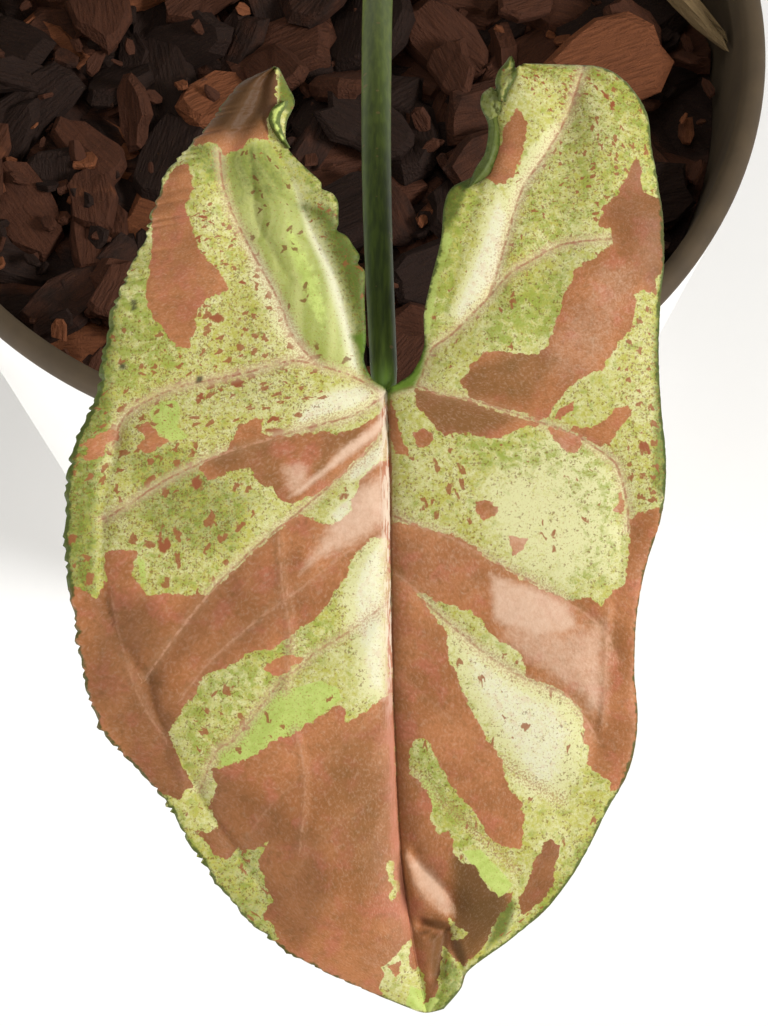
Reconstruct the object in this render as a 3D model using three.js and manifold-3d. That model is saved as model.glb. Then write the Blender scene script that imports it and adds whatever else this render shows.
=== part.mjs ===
// A confetti syngonium in a plain white pot. Arrow-shaped leaves stand on long stalks round a short
// stem, a new leaf is still rolled, and the pot is filled with a coarse bark mix.
// Millimetres, +Z up, origin at the middle of the pot's underside.
import * as THREE from "three";
import { mergeVertices } from "three/addons/utils/BufferGeometryUtils.js";
import Module from "manifold-3d";

const wasm = await Module();
wasm.setup();

// Driving dimensions of the pot and its filling
const POT_HEIGHT = 105;
const POT_RIM_RADIUS = 60;
const POT_BASE_RADIUS = 43;
const POT_WALL = 3.2;
const POT_FLOOR = 4;
const POT_SEGMENTS = 48;
const DRAIN_HOLES = 5;
const DRAIN_RADIUS = 4.5;
const DRAIN_RING_RADIUS = 25;
const MIX_BELOW_RIM = 14;
const SEAT_GAP = 0.3;

// Driving dimensions of the bark chips
const CHIP_COUNT = 60;
const CHIP_LENGTH = [13, 20];
const CHIP_WIDTH = [8, 12];
const CHIP_THICKNESS = [4, 6];
const CHIP_TILT = 0.35;
const CHIP_SEED = 41;

// Driving dimensions of the plant
const STEM_FOOT = new THREE.Vector2(9.5, 22);
const STEM_RADIUS = 5;
const STEM_TOP_ABOVE_RIM = 11;
const STEM_DEPTH_IN_MIX = 38;
const BLADE_THICKNESS = 0.7;
const MIDRIB_DEPTH = 0.9;
const MIDRIB_HALF_WIDTH = 1.1;
const STALK_SIDES = 8;
const STALK_STEPS = 14;
const SHEATH_SHARE = 0.28;
const SHEATH_SWELL = 0.9;
const FRONT_ROWS_PER_RIB = 2;
const FRONT_COLUMNS = 7;
const OTHER_ROWS_PER_RIB = 1;
const OTHER_COLUMNS = 4;

// Relief of a blade
const CUSHION_RISE = 1.7;
const LOBE_RISE = 1.4;
const LOBE_TROUGH = 0.7;
const EDGE_TURN = 0.9;
const PLEAT_DEPTH = 0.35;
const PLEATS_PER_RIB = 0.4;
const LOBE_BEND = 0.012;
const SCALLOP_DEPTH = 0.28;

const COLOURS = {
  pot: 0xf0eeea,
  mix: 0x3a2113,
  stem: 0x6f7a3a,
  stalk: 0x4f6228,
  blade: 0xb98a62,
  newLeaf: 0xb9a070,
};

// Helpers
function material(colour, roughness) {
  return new THREE.MeshStandardMaterial({ color: colour, roughness, metalness: 0 });
}

function lerp(from, to, share) {
  return from + (to - from) * share;
}

function seededRandom(seed) {
  let state = seed;
  return () => {
    state = (state * 1664525 + 1013904223) % 4294967296;
    return state / 4294967296;
  };
}

function solidFrom(geometry) {
  const bare = geometry.clone();
  bare.deleteAttribute("normal");
  bare.deleteAttribute("uv");
  const merged = mergeVertices(bare, 1e-4);
  return new wasm.Manifold(
    new wasm.Mesh({
      numProp: 3,
      vertProperties: merged.attributes.position.array,
      triVerts: new Uint32Array(merged.index.array),
    }),
  );
}

function geometryFrom(solid) {
  const mesh = solid.getMesh();
  const geometry = new THREE.BufferGeometry();
  geometry.setAttribute("position", new THREE.BufferAttribute(mesh.vertProperties, 3));
  geometry.setIndex(new THREE.BufferAttribute(mesh.triVerts, 1));
  geometry.computeVertexNormals();
  return geometry;
}

function largestBody(solid) {
  const bodies = solid.decompose();
  return bodies.reduce((best, body) => (body.volume() > best.volume() ? body : best));
}

function latheSolid(profile, segments) {
  const points = profile.map(([radius, height]) => new THREE.Vector2(radius, height));
  const geometry = new THREE.LatheGeometry(points, segments);
  geometry.rotateX(Math.PI / 2);
  return solidFrom(geometry);
}

function named(name, solid, look) {
  const mesh = new THREE.Mesh(geometryFrom(solid), look);
  mesh.name = name;
  return mesh;
}

// Pot: a tapered cup with a rounded lip and five drain holes clear of the middle of its floor
function potOuterRadius(height) {
  return lerp(POT_BASE_RADIUS, POT_RIM_RADIUS, height / POT_HEIGHT);
}

function potInnerRadius(height) {
  return potOuterRadius(height) - POT_WALL;
}

function makePot() {
  const bevel = 1;
  let pot = latheSolid(
    [
      [0, 0],
      [POT_BASE_RADIUS - bevel, 0],
      [potOuterRadius(bevel), bevel],
      [potOuterRadius(POT_HEIGHT - bevel), POT_HEIGHT - bevel],
      [POT_RIM_RADIUS - bevel, POT_HEIGHT],
      [POT_RIM_RADIUS - POT_WALL + bevel, POT_HEIGHT],
      [potInnerRadius(POT_HEIGHT - bevel), POT_HEIGHT - bevel],
      [potInnerRadius(POT_FLOOR), POT_FLOOR],
      [0, POT_FLOOR],
    ],
    POT_SEGMENTS,
  );
  for (let i = 0; i < DRAIN_HOLES; i += 1) {
    const angle = (2 * Math.PI * i) / DRAIN_HOLES;
    const drill = new THREE.CylinderGeometry(DRAIN_RADIUS, DRAIN_RADIUS, 3 * POT_FLOOR, 12);
    drill.rotateX(Math.PI / 2);
    drill.translate(DRAIN_RING_RADIUS * Math.cos(angle), DRAIN_RING_RADIUS * Math.sin(angle), 0);
    pot = pot.subtract(solidFrom(drill));
  }
  return pot;
}

// Bark mix: one body that fills the pot, with chips of bark standing out of its top
const MIX_TOP = POT_HEIGHT - MIX_BELOW_RIM;

function makeChip(random) {
  const size = [CHIP_LENGTH, CHIP_WIDTH, CHIP_THICKNESS].map(([low, high]) => lerp(low, high, random()));
  const chip = new THREE.BoxGeometry(1, 1, 1);
  const corners = new Map();
  const position = chip.attributes.position;
  for (let i = 0; i < position.count; i += 1) {
    const corner = [position.getX(i), position.getY(i), position.getZ(i)];
    const key = corner.join();
    if (!corners.has(key)) {
      corners.set(key, corner.map((side, axis) => side * size[axis] * lerp(0.65, 1.1, random())));
    }
    position.setXYZ(i, ...corners.get(key));
  }
  chip.rotateX(lerp(-CHIP_TILT, CHIP_TILT, random()));
  chip.rotateY(lerp(-CHIP_TILT, CHIP_TILT, random()));
  chip.rotateZ(Math.PI * random());
  return chip;
}

function makeMix() {
  const floor = POT_FLOOR + SEAT_GAP;
  const reach = potInnerRadius(MIX_TOP) - SEAT_GAP;
  const fill = latheSolid(
    [
      [0, floor],
      [potInnerRadius(floor) - SEAT_GAP, floor],
      [reach, MIX_TOP],
      [0, MIX_TOP + 2],
    ],
    POT_SEGMENTS,
  );
  const random = seededRandom(CHIP_SEED);
  const goldenAngle = Math.PI * (3 - Math.sqrt(5));
  const chips = [];
  for (let i = 0; i < CHIP_COUNT; i += 1) {
    const radius = reach * Math.sqrt((i + 0.5) / CHIP_COUNT);
    const angle = goldenAngle * i;
    const chip = makeChip(random);
    const height = MIX_TOP + lerp(0.5, 3.5, random());
    chip.translate(radius * Math.cos(angle), radius * Math.sin(angle), height);
    chips.push(solidFrom(chip));
  }
  const chipLimit = POT_HEIGHT - 2;
  const inside = latheSolid(
    [
      [0, floor],
      [potInnerRadius(floor) - SEAT_GAP, floor],
      [potInnerRadius(chipLimit) - SEAT_GAP, chipLimit],
      [0, chipLimit],
    ],
    POT_SEGMENTS,
  );
  const heaped = wasm.Manifold.union([fill, ...chips]).intersect(inside);
  return largestBody(heaped.subtract(stemShape(SEAT_GAP)));
}

// Stem: a short cane with swollen joints, set in a plain hole in the mix
function stemShape(grow) {
  const foot = MIX_TOP - STEM_DEPTH_IN_MIX - grow;
  const top = POT_HEIGHT + STEM_TOP_ABOVE_RIM;
  const radius = STEM_RADIUS + grow;
  const cane = latheSolid(
    [
      [0, foot],
      [0.45 * radius, foot],
      [radius, MIX_TOP - 14],
      [radius, MIX_TOP + 1],
      [1.12 * radius, MIX_TOP + 8],
      [0.92 * radius, MIX_TOP + 11],
      [1.02 * radius, MIX_TOP + 18],
      [0.7 * radius, top],
      [0, top],
    ],
    16,
  );
  return cane.translate([STEM_FOOT.x, STEM_FOOT.y, 0]);
}

// Stalks: tapered sweeps along a smooth curve, thickest in the sheath at the foot
function sweep(curve, steps, sides, sectionRadius) {
  const frames = curve.computeFrenetFrames(steps, false);
  const points = [];
  const faces = [];
  for (let i = 0; i <= steps; i += 1) {
    const centre = curve.getPointAt(i / steps);
    for (let j = 0; j < sides; j += 1) {
      const turn = (2 * Math.PI * j) / sides;
      const radius = sectionRadius(i / steps, j / sides);
      const out = frames.normals[i].clone().multiplyScalar(radius * Math.cos(turn));
      out.addScaledVector(frames.binormals[i], radius * Math.sin(turn));
      points.push(...out.add(centre).toArray());
    }
  }
  const ends = [points.length / 3, points.length / 3 + 1];
  points.push(...curve.getPointAt(0).toArray(), ...curve.getPointAt(1).toArray());
  for (let j = 0; j < sides; j += 1) {
    const next = (j + 1) % sides;
    const last = steps * sides;
    faces.push(ends[0], next, j, ends[1], last + j, last + next);
    for (let i = 0; i < steps; i += 1) {
      const row = i * sides;
      faces.push(row + j, row + next, row + sides + next);
      faces.push(row + j, row + sides + next, row + sides + j);
    }
  }
  const geometry = new THREE.BufferGeometry();
  geometry.setAttribute("position", new THREE.Float32BufferAttribute(points, 3));
  geometry.setIndex(faces);
  return solidFrom(geometry);
}

function smoothCurve(points) {
  const route = points.map(([x, y, aboveRim]) => new THREE.Vector3(x, y, POT_HEIGHT + aboveRim));
  return new THREE.CatmullRomCurve3(route, false, "centripetal");
}

function makeStalk(leaf, stem, bladeRoom) {
  const thickness = (along) => {
    const plain = lerp(leaf.stalkRadius[0], leaf.stalkRadius[1], along);
    return plain + SHEATH_SWELL * Math.max(0, 1 - along / SHEATH_SHARE);
  };
  const whole = sweep(smoothCurve(leaf.stalk), STALK_STEPS, STALK_SIDES, thickness);
  return largestBody(whole.subtract(stem).subtract(bladeRoom));
}

// Blade outline, in millimetres from the point where the stalk joins, +Y towards the two back lobes.
// Each rib runs across one half of the blade, from its inner edge to its outer margin.
const LEFT_LOBE_RIBS = [
  [-10.9, 32.3, -11.6, 32.6],
  [-10.2, 30.8, -14.6, 31.1],
  [-9.4, 28.9, -16.9, 28.3],
  [-10.2, 26.8, -18.7, 25.8],
  [-10.2, 24.6, -21.0, 23.2],
  [-9.2, 23.1, -22.7, 20.8],
  [-6.8, 20.8, -23.4, 18.2],
  [-5.1, 18.9, -24.0, 15.9],
  [-4.9, 16.6, -25.1, 13.6],
  [-3.8, 14.8, -26.2, 11.2],
  [-2.4, 12.3, -27.3, 8.6],
  [-2.35, 8.8, -28.1, 5.8],
  [-2.2, 5.0, -28.6, 2.8],
  [-2.4, 2.8, -29.2, -0.6],
  [-1.5, 0.9, -30.9, -4.3],
];
const RIGHT_LOBE_RIBS = [
  [12.9, 32.4, 13.9, 32.9],
  [11.5, 31.2, 17.2, 33.0],
  [10.5, 29.8, 21.1, 32.8],
  [9.6, 28.2, 23.9, 31.2],
  [10.1, 26.3, 26.0, 28.1],
  [9.7, 23.6, 26.5, 23.9],
  [8.6, 21.4, 27.0, 21.2],
  [6.4, 20.1, 27.4, 18.6],
  [5.6, 18.2, 27.6, 16.0],
  [5.3, 14.9, 27.7, 12.8],
  [4.3, 10.8, 27.3, 8.9],
  [3.6, 7.4, 27.15, 5.0],
  [3.6, 4.2, 27.2, 1.2],
  [2.5, 1.7, 27.4, -2.6],
  [1.1, 0.6, 27.8, -6.2],
];
// Below the joint both halves share the midrib: midrib, left margin, right margin.
const BODY_RIBS = [
  [0.05, -0.4, -31.9, -7.6, 27.8, -9.5],
  [0.1, -4.0, -32.3, -12.0, 27.2, -13.4],
  [0.15, -8.8, -32.2, -17.2, 25.9, -17.6],
  [0.2, -14.2, -31.4, -23.1, 24.9, -22.6],
  [0.3, -20.0, -30.5, -28.6, 24.7, -28.2],
  [0.45, -25.8, -28.7, -34.1, 25.0, -33.4],
  [0.6, -31.5, -25.2, -38.0, 24.1, -38.2],
  [0.8, -37.2, -22.1, -41.6, 21.9, -42.4],
  [1.05, -42.8, -19.2, -46.6, 19.3, -47.4],
  [1.5, -48.3, -15.3, -51.9, 16.1, -51.9],
  [2.05, -52.8, -10.7, -56.0, 12.7, -54.9],
  [2.65, -56.8, -5.9, -58.6, 8.8, -57.8],
  [3.3, -60.2, -1.0, -60.8, 6.7, -60.7],
  [3.9, -62.3, 2.7, -62.3, 5.1, -62.5],
];
const RIB_GAPS = LEFT_LOBE_RIBS.length + BODY_RIBS.length - 1;
const JOINT_RIB = LEFT_LOBE_RIBS.length;

function halfRibs(side) {
  const lobe = side < 0 ? LEFT_LOBE_RIBS : RIGHT_LOBE_RIBS;
  const body = BODY_RIBS.map((rib) => [rib[0], rib[1], ...(side < 0 ? rib.slice(2, 4) : rib.slice(4, 6))]);
  return [...lobe, ...body];
}

function edgeCurve(ribs, first) {
  const points = ribs.map((rib) => new THREE.Vector3(rib[first], rib[first + 1], 0));
  return new THREE.CatmullRomCurve3(points, false, "catmullrom", 0.5);
}

function smoothStep(low, high, value) {
  return THREE.MathUtils.smoothstep(value, low, high);
}

// Height of the blade over its own plane. The body is a shallow trough along the midrib with two
// swollen halves and margins turned down. Each lobe has its own trough and its tip bends back.
function bladeHeight(side, rib, across, point, leaf) {
  const body = CUSHION_RISE * (1 - (1 - across) ** 3) * (1 - 1.2 * across ** 2);
  const trough = LOBE_TROUGH * Math.exp(-(((across - 0.5) / 0.15) ** 2));
  const turnedEdges = EDGE_TURN * (Math.exp(-across / 0.1) + Math.exp((across - 1) / 0.1));
  const lobe = LOBE_RISE * Math.sin(Math.PI * across) * (1 - trough) - turnedEdges;
  const inBody = smoothStep(JOINT_RIB - 5, JOINT_RIB + 1, rib);
  const pleatTurn = 2 * Math.PI * PLEATS_PER_RIB * rib + side;
  const pleats = PLEAT_DEPTH * Math.sin(Math.PI * across) * Math.cos(pleatTurn);
  const nearTip = smoothStep(RIB_GAPS - 5, RIB_GAPS, rib);
  const crinkle = leaf.wave * across ** 5 * Math.sin(2.4 * rib + 2 * side) * (1 - nearTip);
  const lobeBend = -LOBE_BEND * Math.max(0, point.y - 16) ** 2;
  const tipBend = -leaf.droop * (Math.min(0, point.y) / 62) ** 2;
  return lerp(lobe, body, inBody) * (1 - 0.7 * nearTip) + pleats * inBody + crinkle + lobeBend + tipBend;
}

// One half of the blade as rows of points, each row along a rib. grow widens the outline.
function halfRows(side, leaf, rowsPerRib, columns, grow) {
  const ribs = halfRibs(side);
  const inner = edgeCurve(ribs, 0);
  const outer = edgeCurve(ribs, 2);
  const rows = [];
  for (let i = 0; i <= RIB_GAPS * rowsPerRib; i += 1) {
    const share = i / (RIB_GAPS * rowsPerRib);
    const rib = share * RIB_GAPS;
    const from = inner.getPoint(share);
    const to = outer.getPoint(share);
    const direction = to.clone().sub(from).normalize();
    const awayFromTips = smoothStep(0, 2, rib) * smoothStep(0, 3, RIB_GAPS - rib);
    const scallop = SCALLOP_DEPTH * Math.sin(4.4 * rib) * awayFromTips;
    to.addScaledVector(direction, scallop + grow);
    if (rib < JOINT_RIB - 0.01) from.addScaledVector(direction, -grow);
    const row = [];
    for (let j = 0; j <= columns; j += 1) {
      const across = j / columns;
      const point = from.clone().lerp(to, across);
      point.z = bladeHeight(side, rib, across, point, leaf);
      row.push(point);
    }
    rows.push(row);
  }
  return rows;
}

// Upper sheet of the blade: both halves, joined along the midrib
function bladeSheet(leaf, rowsPerRib, columns, grow) {
  const points = [];
  const faces = [];
  const midrib = [];
  const joint = JOINT_RIB * rowsPerRib;
  for (const side of [-1, 1]) {
    const rows = halfRows(side, leaf, rowsPerRib, columns, grow);
    const index = rows.map((row, i) =>
      row.map((point, j) => {
        const shared = j === 0 && i >= joint;
        if (shared && side > 0) return midrib[i];
        points.push(point);
        if (shared) midrib[i] = points.length - 1;
        return points.length - 1;
      }),
    );
    for (let i = 0; i + 1 < rows.length; i += 1) {
      for (let j = 0; j < columns; j += 1) {
        const corners = [index[i][j], index[i][j + 1], index[i + 1][j + 1], index[i + 1][j]];
        if (side > 0) corners.reverse();
        faces.push([corners[0], corners[1], corners[2]], [corners[0], corners[2], corners[3]]);
      }
    }
  }
  return { points, faces };
}

// A sheet with a second one below it, triangulated alike, and a wall round the free edge
function thickened({ points, faces }, above, belowAt) {
  const sheet = new THREE.BufferGeometry().setFromPoints(points);
  sheet.setIndex(faces.flat());
  sheet.computeVertexNormals();
  const normals = sheet.attributes.normal;
  const normal = new THREE.Vector3();
  const coordinates = [];
  for (const reach of [() => above, (point) => -belowAt(point)]) {
    points.forEach((point, i) => {
      normal.fromBufferAttribute(normals, i);
      coordinates.push(...point.clone().addScaledVector(normal, reach(point)).toArray());
    });
  }
  const edges = new Set(faces.flatMap(([a, b, c]) => [`${a},${b}`, `${b},${c}`, `${c},${a}`]));
  const lower = points.length;
  const triangles = [...faces, ...faces.map(([a, b, c]) => [a + lower, c + lower, b + lower])];
  for (const edge of edges) {
    const [a, b] = edge.split(",").map(Number);
    if (!edges.has(`${b},${a}`)) triangles.push([a, a + lower, b + lower], [a, b + lower, b]);
  }
  const geometry = new THREE.BufferGeometry();
  geometry.setAttribute("position", new THREE.Float32BufferAttribute(coordinates, 3));
  geometry.setIndex(triangles.flat());
  return geometry;
}

// Depth under the sheet: the blade's own thickness, and the keel of the midrib below the joint
function depthBelow(point) {
  const keel = Math.exp(-((point.x / MIDRIB_HALF_WIDTH) ** 2));
  const taper = smoothStep(-60, -5, point.y) * smoothStep(-2.5, 0, -point.y);
  return BLADE_THICKNESS + MIDRIB_DEPTH * keel * taper;
}

// Where a blade stands: its joint, the way its tip points, its fall from level and its roll
function bladeFrame(leaf) {
  const [x, y, aboveRim] = leaf.joint;
  const heading = THREE.MathUtils.degToRad(leaf.heading);
  const fall = THREE.MathUtils.degToRad(leaf.fall);
  const tip = new THREE.Vector3(
    Math.cos(heading) * Math.cos(fall),
    Math.sin(heading) * Math.cos(fall),
    -Math.sin(fall),
  );
  const toLobes = tip.clone().negate();
  const across = new THREE.Vector3().crossVectors(toLobes, new THREE.Vector3(0, 0, 1)).normalize();
  across.applyAxisAngle(toLobes, THREE.MathUtils.degToRad(leaf.roll));
  const normal = new THREE.Vector3().crossVectors(across, toLobes);
  const turn = new THREE.Matrix4().makeBasis(across, toLobes, normal);
  const size = new THREE.Matrix4().makeScale(leaf.mirror ? -leaf.size : leaf.size, leaf.size, leaf.size);
  const place = new THREE.Matrix4().makeTranslation(x, y, POT_HEIGHT + aboveRim);
  return place.multiply(turn).multiply(size);
}

function placed(geometry, leaf) {
  geometry.applyMatrix4(bladeFrame(leaf));
  if (leaf.mirror) {
    const index = geometry.index;
    for (let i = 0; i < index.count; i += 3) {
      const second = index.getX(i + 1);
      index.setX(i + 1, index.getX(i + 2));
      index.setX(i + 2, second);
    }
  }
  return solidFrom(geometry);
}

function makeBlade(leaf, grow) {
  const fine = leaf.name === "front";
  const rows = fine ? FRONT_ROWS_PER_RIB : OTHER_ROWS_PER_RIB;
  const columns = fine ? FRONT_COLUMNS : OTHER_COLUMNS;
  const margin = grow / leaf.size;
  const sheet = bladeSheet(leaf, rows, columns, margin);
  return placed(thickened(sheet, margin, (point) => depthBelow(point) + margin), leaf);
}

// The leaves. Stalk points are x, y and height over the rim, from the stem to the blade's joint.
const LEAVES = [
  {
    name: "front",
    stalk: [[9.5, 20, 0], [9.3, 10, 9], [8.9, -8, 32], [8.7, -40, 62], [8.9, -72, 78], [9.5, -97, 82.2]],
    stalkRadius: [2.2, 1.35],
    joint: [9.5, -95.5, 83.5],
    heading: -90, fall: 25, roll: 0, size: 1, mirror: false, wave: 0.35, droop: 0.6,
  },
  {
    name: "left",
    stalk: [[7, 21, 4], [-3, 20.5, 13], [-18, 23, 36], [-38, 27, 54], [-59.5, 25.6, 60.6]],
    stalkRadius: [1.9, 1.15],
    joint: [-58, 26, 62],
    heading: 194, fall: 32, roll: -8, size: 0.82, mirror: true, wave: 0.6, droop: 4,
  },
  {
    name: "back_left",
    stalk: [[8.5, 24, -4], [3.5, 35, 7], [-8, 57, 44], [-24, 80, 80], [-34.8, 97.4, 91]],
    stalkRadius: [2.1, 1.25],
    joint: [-34, 96, 92.5],
    heading: 120, fall: 30, roll: 6, size: 0.92, mirror: false, wave: 0.6, droop: 3,
  },
  {
    name: "back_right",
    stalk: [[11, 24.5, 6], [17.5, 35, 21], [30, 53, 61], [42, 73, 93], [53, 89.2, 107]],
    stalkRadius: [2.1, 1.2],
    joint: [52, 88, 108.5],
    heading: 50, fall: 28, roll: -5, size: 0.88, mirror: true, wave: 0.5, droop: 3,
  },
  {
    name: "right",
    stalk: [[12, 21.5, -3], [23, 18.5, 7], [43, 14, 40], [62, 11, 63], [79.5, 9.7, 68.6]],
    stalkRadius: [1.8, 1.1],
    joint: [78, 10, 70],
    heading: -12, fall: 31, roll: 7, size: 0.76, mirror: false, wave: 0.6, droop: 4,
  },
];

// New leaf: a slim stalk out of the top of the stem that swells into a rolled, pointed blade
const NEW_LEAF_ROUTE = [[9.6, 22.2, 11.4], [10, 24, 34], [11, 26, 62], [12.2, 27, 92], [14, 27, 122]];

function makeNewLeaf() {
  const rollStart = 0.42;
  return sweep(smoothCurve(NEW_LEAF_ROUTE), 18, 10, (along, turn) => {
    const inRoll = Math.max(0, along - rollStart) / (1 - rollStart);
    const swell = 2.1 * Math.sin(Math.PI * inRoll ** 0.7) * (1 + 0.35 * turn);
    const stalk = lerp(1.9, 1.3, along / rollStart);
    return along < rollStart ? stalk : 0.25 + 1.05 * (1 - inRoll) + swell;
  });
}

// The plant in its pot
function makePlant() {
  const group = new THREE.Group();
  const stem = stemShape(0);
  const stemRoom = stemShape(SEAT_GAP);
  group.add(named("pot", makePot(), material(COLOURS.pot, 0.35)));
  group.add(named("bark_mix", makeMix(), material(COLOURS.mix, 0.9)));
  group.add(named("stem", stem, material(COLOURS.stem, 0.6)));
  for (const leaf of LEAVES) {
    const stalk = makeStalk(leaf, stemRoom, makeBlade(leaf, SEAT_GAP));
    group.add(named(`${leaf.name}_stalk`, stalk, material(COLOURS.stalk, 0.5)));
    group.add(named(`${leaf.name}_blade`, makeBlade(leaf, 0), material(COLOURS.blade, 0.55)));
  }
  const newLeaf = makeNewLeaf().subtract(stemRoom);
  group.add(named("new_leaf", largestBody(newLeaf), material(COLOURS.newLeaf, 0.5)));
  return group;
}

export default makePlant();
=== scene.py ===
# %% [markdown]
# # A confetti syngonium in a white pot
#
# This file dresses a measured model of a small house plant. The model is already in place:
# a pot, a bark filling, a stem, five leaves on stalks and one rolled leaf, each a plain solid.
# Every cell below makes one piece finer, or gives it its finish, without moving it.
# All sizes are worked out in millimetres and turned into metres when a mesh is made.

# %% Load the measured model
import math

import bpy
import numpy as np
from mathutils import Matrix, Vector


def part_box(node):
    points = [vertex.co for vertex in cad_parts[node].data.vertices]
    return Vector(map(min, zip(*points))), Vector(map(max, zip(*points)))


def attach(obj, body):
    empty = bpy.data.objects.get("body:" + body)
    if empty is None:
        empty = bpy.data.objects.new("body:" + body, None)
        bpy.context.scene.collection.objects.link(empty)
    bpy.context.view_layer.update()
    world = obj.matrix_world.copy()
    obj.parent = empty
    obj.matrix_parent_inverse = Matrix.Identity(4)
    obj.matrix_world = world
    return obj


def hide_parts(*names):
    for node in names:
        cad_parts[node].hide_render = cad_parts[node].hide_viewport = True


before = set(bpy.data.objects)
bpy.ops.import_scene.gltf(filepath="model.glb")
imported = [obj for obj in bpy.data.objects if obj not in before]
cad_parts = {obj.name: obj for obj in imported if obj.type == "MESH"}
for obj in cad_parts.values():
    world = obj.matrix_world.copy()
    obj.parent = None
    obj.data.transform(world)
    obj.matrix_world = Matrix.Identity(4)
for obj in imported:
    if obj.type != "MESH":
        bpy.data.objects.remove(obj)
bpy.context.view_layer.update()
MM = 0.001
POT_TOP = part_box("pot")[1][2] / MM
print("nodes:", ", ".join(sorted(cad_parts)))
print("pot height in mm:", round(POT_TOP, 1))

# %% [markdown]
# ## Smooth curves
#
# A leaf margin or a stalk is easy to describe by a few points that the eye can place.
# A Catmull-Rom curve passes through every one of them, so what is typed is what is drawn.
# With `even` off, the curve spaces itself by the distance between points, which keeps
# a stalk with uneven points free of loops.


# %% Curve helper
def spline(points, shares, even=True):
    points = np.asarray(points, float)
    first = 2 * points[0] - points[1]
    last = 2 * points[-1] - points[-2]
    run = np.vstack([first, points, last])
    place = np.clip(np.asarray(shares, float), 0, 1) * (len(points) - 1)
    piece = np.minimum(place.astype(int), len(points) - 2)
    p0, p1, p2, p3 = (run[piece + k] for k in range(4))
    power = 0.0 if even else 0.5
    gaps = ((p0, p1), (p1, p2), (p2, p3))
    s0, s1, s2 = (np.linalg.norm(b - a, axis=1)[:, None] ** power for a, b in gaps)
    leave = ((p1 - p0) / s0 - (p2 - p0) / (s0 + s1) + (p2 - p1) / s1) * s1
    arrive = ((p2 - p1) / s1 - (p3 - p1) / (s1 + s2) + (p3 - p2) / s2) * s1
    t = (place - piece)[:, None]
    square = -3 * p1 + 3 * p2 - 2 * leave - arrive
    cube = 2 * p1 - 2 * p2 + leave + arrive
    return p1 + leave * t + square * t**2 + cube * t**3


print("middle of a sample curve:", spline([(0, 0), (1, 2), (3, 2)], [0.5])[0])

# %% [markdown]
# ## Distances on a flat blade
#
# A vein, a fold and a patch of colour all act by how far a point of the mesh is from a line.
# These helpers measure the distance to a line, the side of it, and the depth inside an outline.
# A soft step and a bell then turn a distance into a share between 0 and 1.

# %% Distance helpers
FAR = 1e9
TINY = 1e-12


def smooth_step(low, high, value):
    t = np.clip((value - low) / (high - low), 0, 1)
    return t * t * (3 - 2 * t)


def bell(distance, width):
    return np.exp(-((distance / width) ** 2))


def distance_to(points, line):
    best = np.full(len(points), FAR)
    for a, b in zip(line[:-1], line[1:]):
        step = b - a
        along = np.clip((points - a) @ step / max(step @ step, TINY), 0, 1)
        best = np.minimum(best, np.linalg.norm(points - a - along[:, None] * step, axis=1))
    return best


def signed_distance(points, line):
    best = np.full(len(points), FAR)
    sign = np.ones(len(points))
    for a, b in zip(line[:-1], line[1:]):
        step = b - a
        offset = points - a
        along = np.clip(offset @ step / max(step @ step, TINY), 0, 1)
        away = np.linalg.norm(offset - along[:, None] * step, axis=1)
        turn = np.sign(offset[:, 1] * step[0] - offset[:, 0] * step[1])
        sign = np.where(away < best, turn, sign)
        best = np.minimum(best, away)
    return best * np.where(sign == 0, 1, sign)


def depth_inside(points, outline):
    ring = np.vstack([outline, outline[:1]])
    crossings = np.zeros(len(points), int)
    for a, b in zip(ring[:-1], ring[1:]):
        spans = (a[1] > points[:, 1]) != (b[1] > points[:, 1])
        rise = b[1] - a[1] if b[1] != a[1] else TINY
        crossings += spans & (points[:, 0] < a[0] + (points[:, 1] - a[1]) * (b[0] - a[0]) / rise)
    return np.where(crossings % 2 == 1, 1, -1) * distance_to(points, ring)


sample_square = np.array([(0, 0), (4, 0), (4, 4), (0, 4)])
print("depth of a point in a square:", depth_inside(np.array([(1.0, 2.0)]), sample_square)[0])

# %% [markdown]
# ## Meshes
#
# Every piece ends as a mesh of points and faces. Values that only the colours need, such as
# the distance to the nearest vein, are stored on the points as attributes. A shader reads them
# back by name, so a crisp patch of colour needs no picture.


# %% Mesh helper
def make_piece(name, points, faces, nodes, finishes, values=None, skin_index=None, smooth=True):
    mesh = bpy.data.meshes.new(name)
    mesh.from_pydata((np.asarray(points) * MM).tolist(), [], faces)
    mesh.polygons.foreach_set("use_smooth", [smooth] * len(mesh.polygons))
    for finish in finishes:
        mesh.materials.append(finish)
    if skin_index is not None:
        mesh.polygons.foreach_set("material_index", skin_index)
    for key, data in (values or {}).items():
        kind, field = ("FLOAT_VECTOR", "vector") if data.ndim == 2 else ("FLOAT", "value")
        layer = mesh.attributes.new(key, kind, "POINT")
        layer.data.foreach_set(field, data.astype(np.float32).ravel())
    mesh.validate()
    piece = bpy.data.objects.new(name, mesh)
    bpy.context.collection.objects.link(piece)
    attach(piece, "root")
    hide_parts(*nodes)
    triangles = sum(len(face.vertices) - 2 for face in mesh.polygons)
    print(f"{name}: {len(mesh.vertices)} points, {triangles} triangles")
    return piece


# %% [markdown]
# ## Shader helper
#
# A material is a small graph of nodes. Writing the graph out node by node is long,
# so this class gives each common step one short call and returns the socket to use next.
# Colours are typed as they look on a screen, from 0 to 255, and made linear for the shader.


# %% Paint class
def srgb(red, green, blue):
    channels = [value / 255 for value in (red, green, blue)]
    linear = [c / 12.92 if c <= 0.04045 else ((c + 0.055) / 1.055) ** 2.4 for c in channels]
    return (*linear, 1.0)


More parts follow.
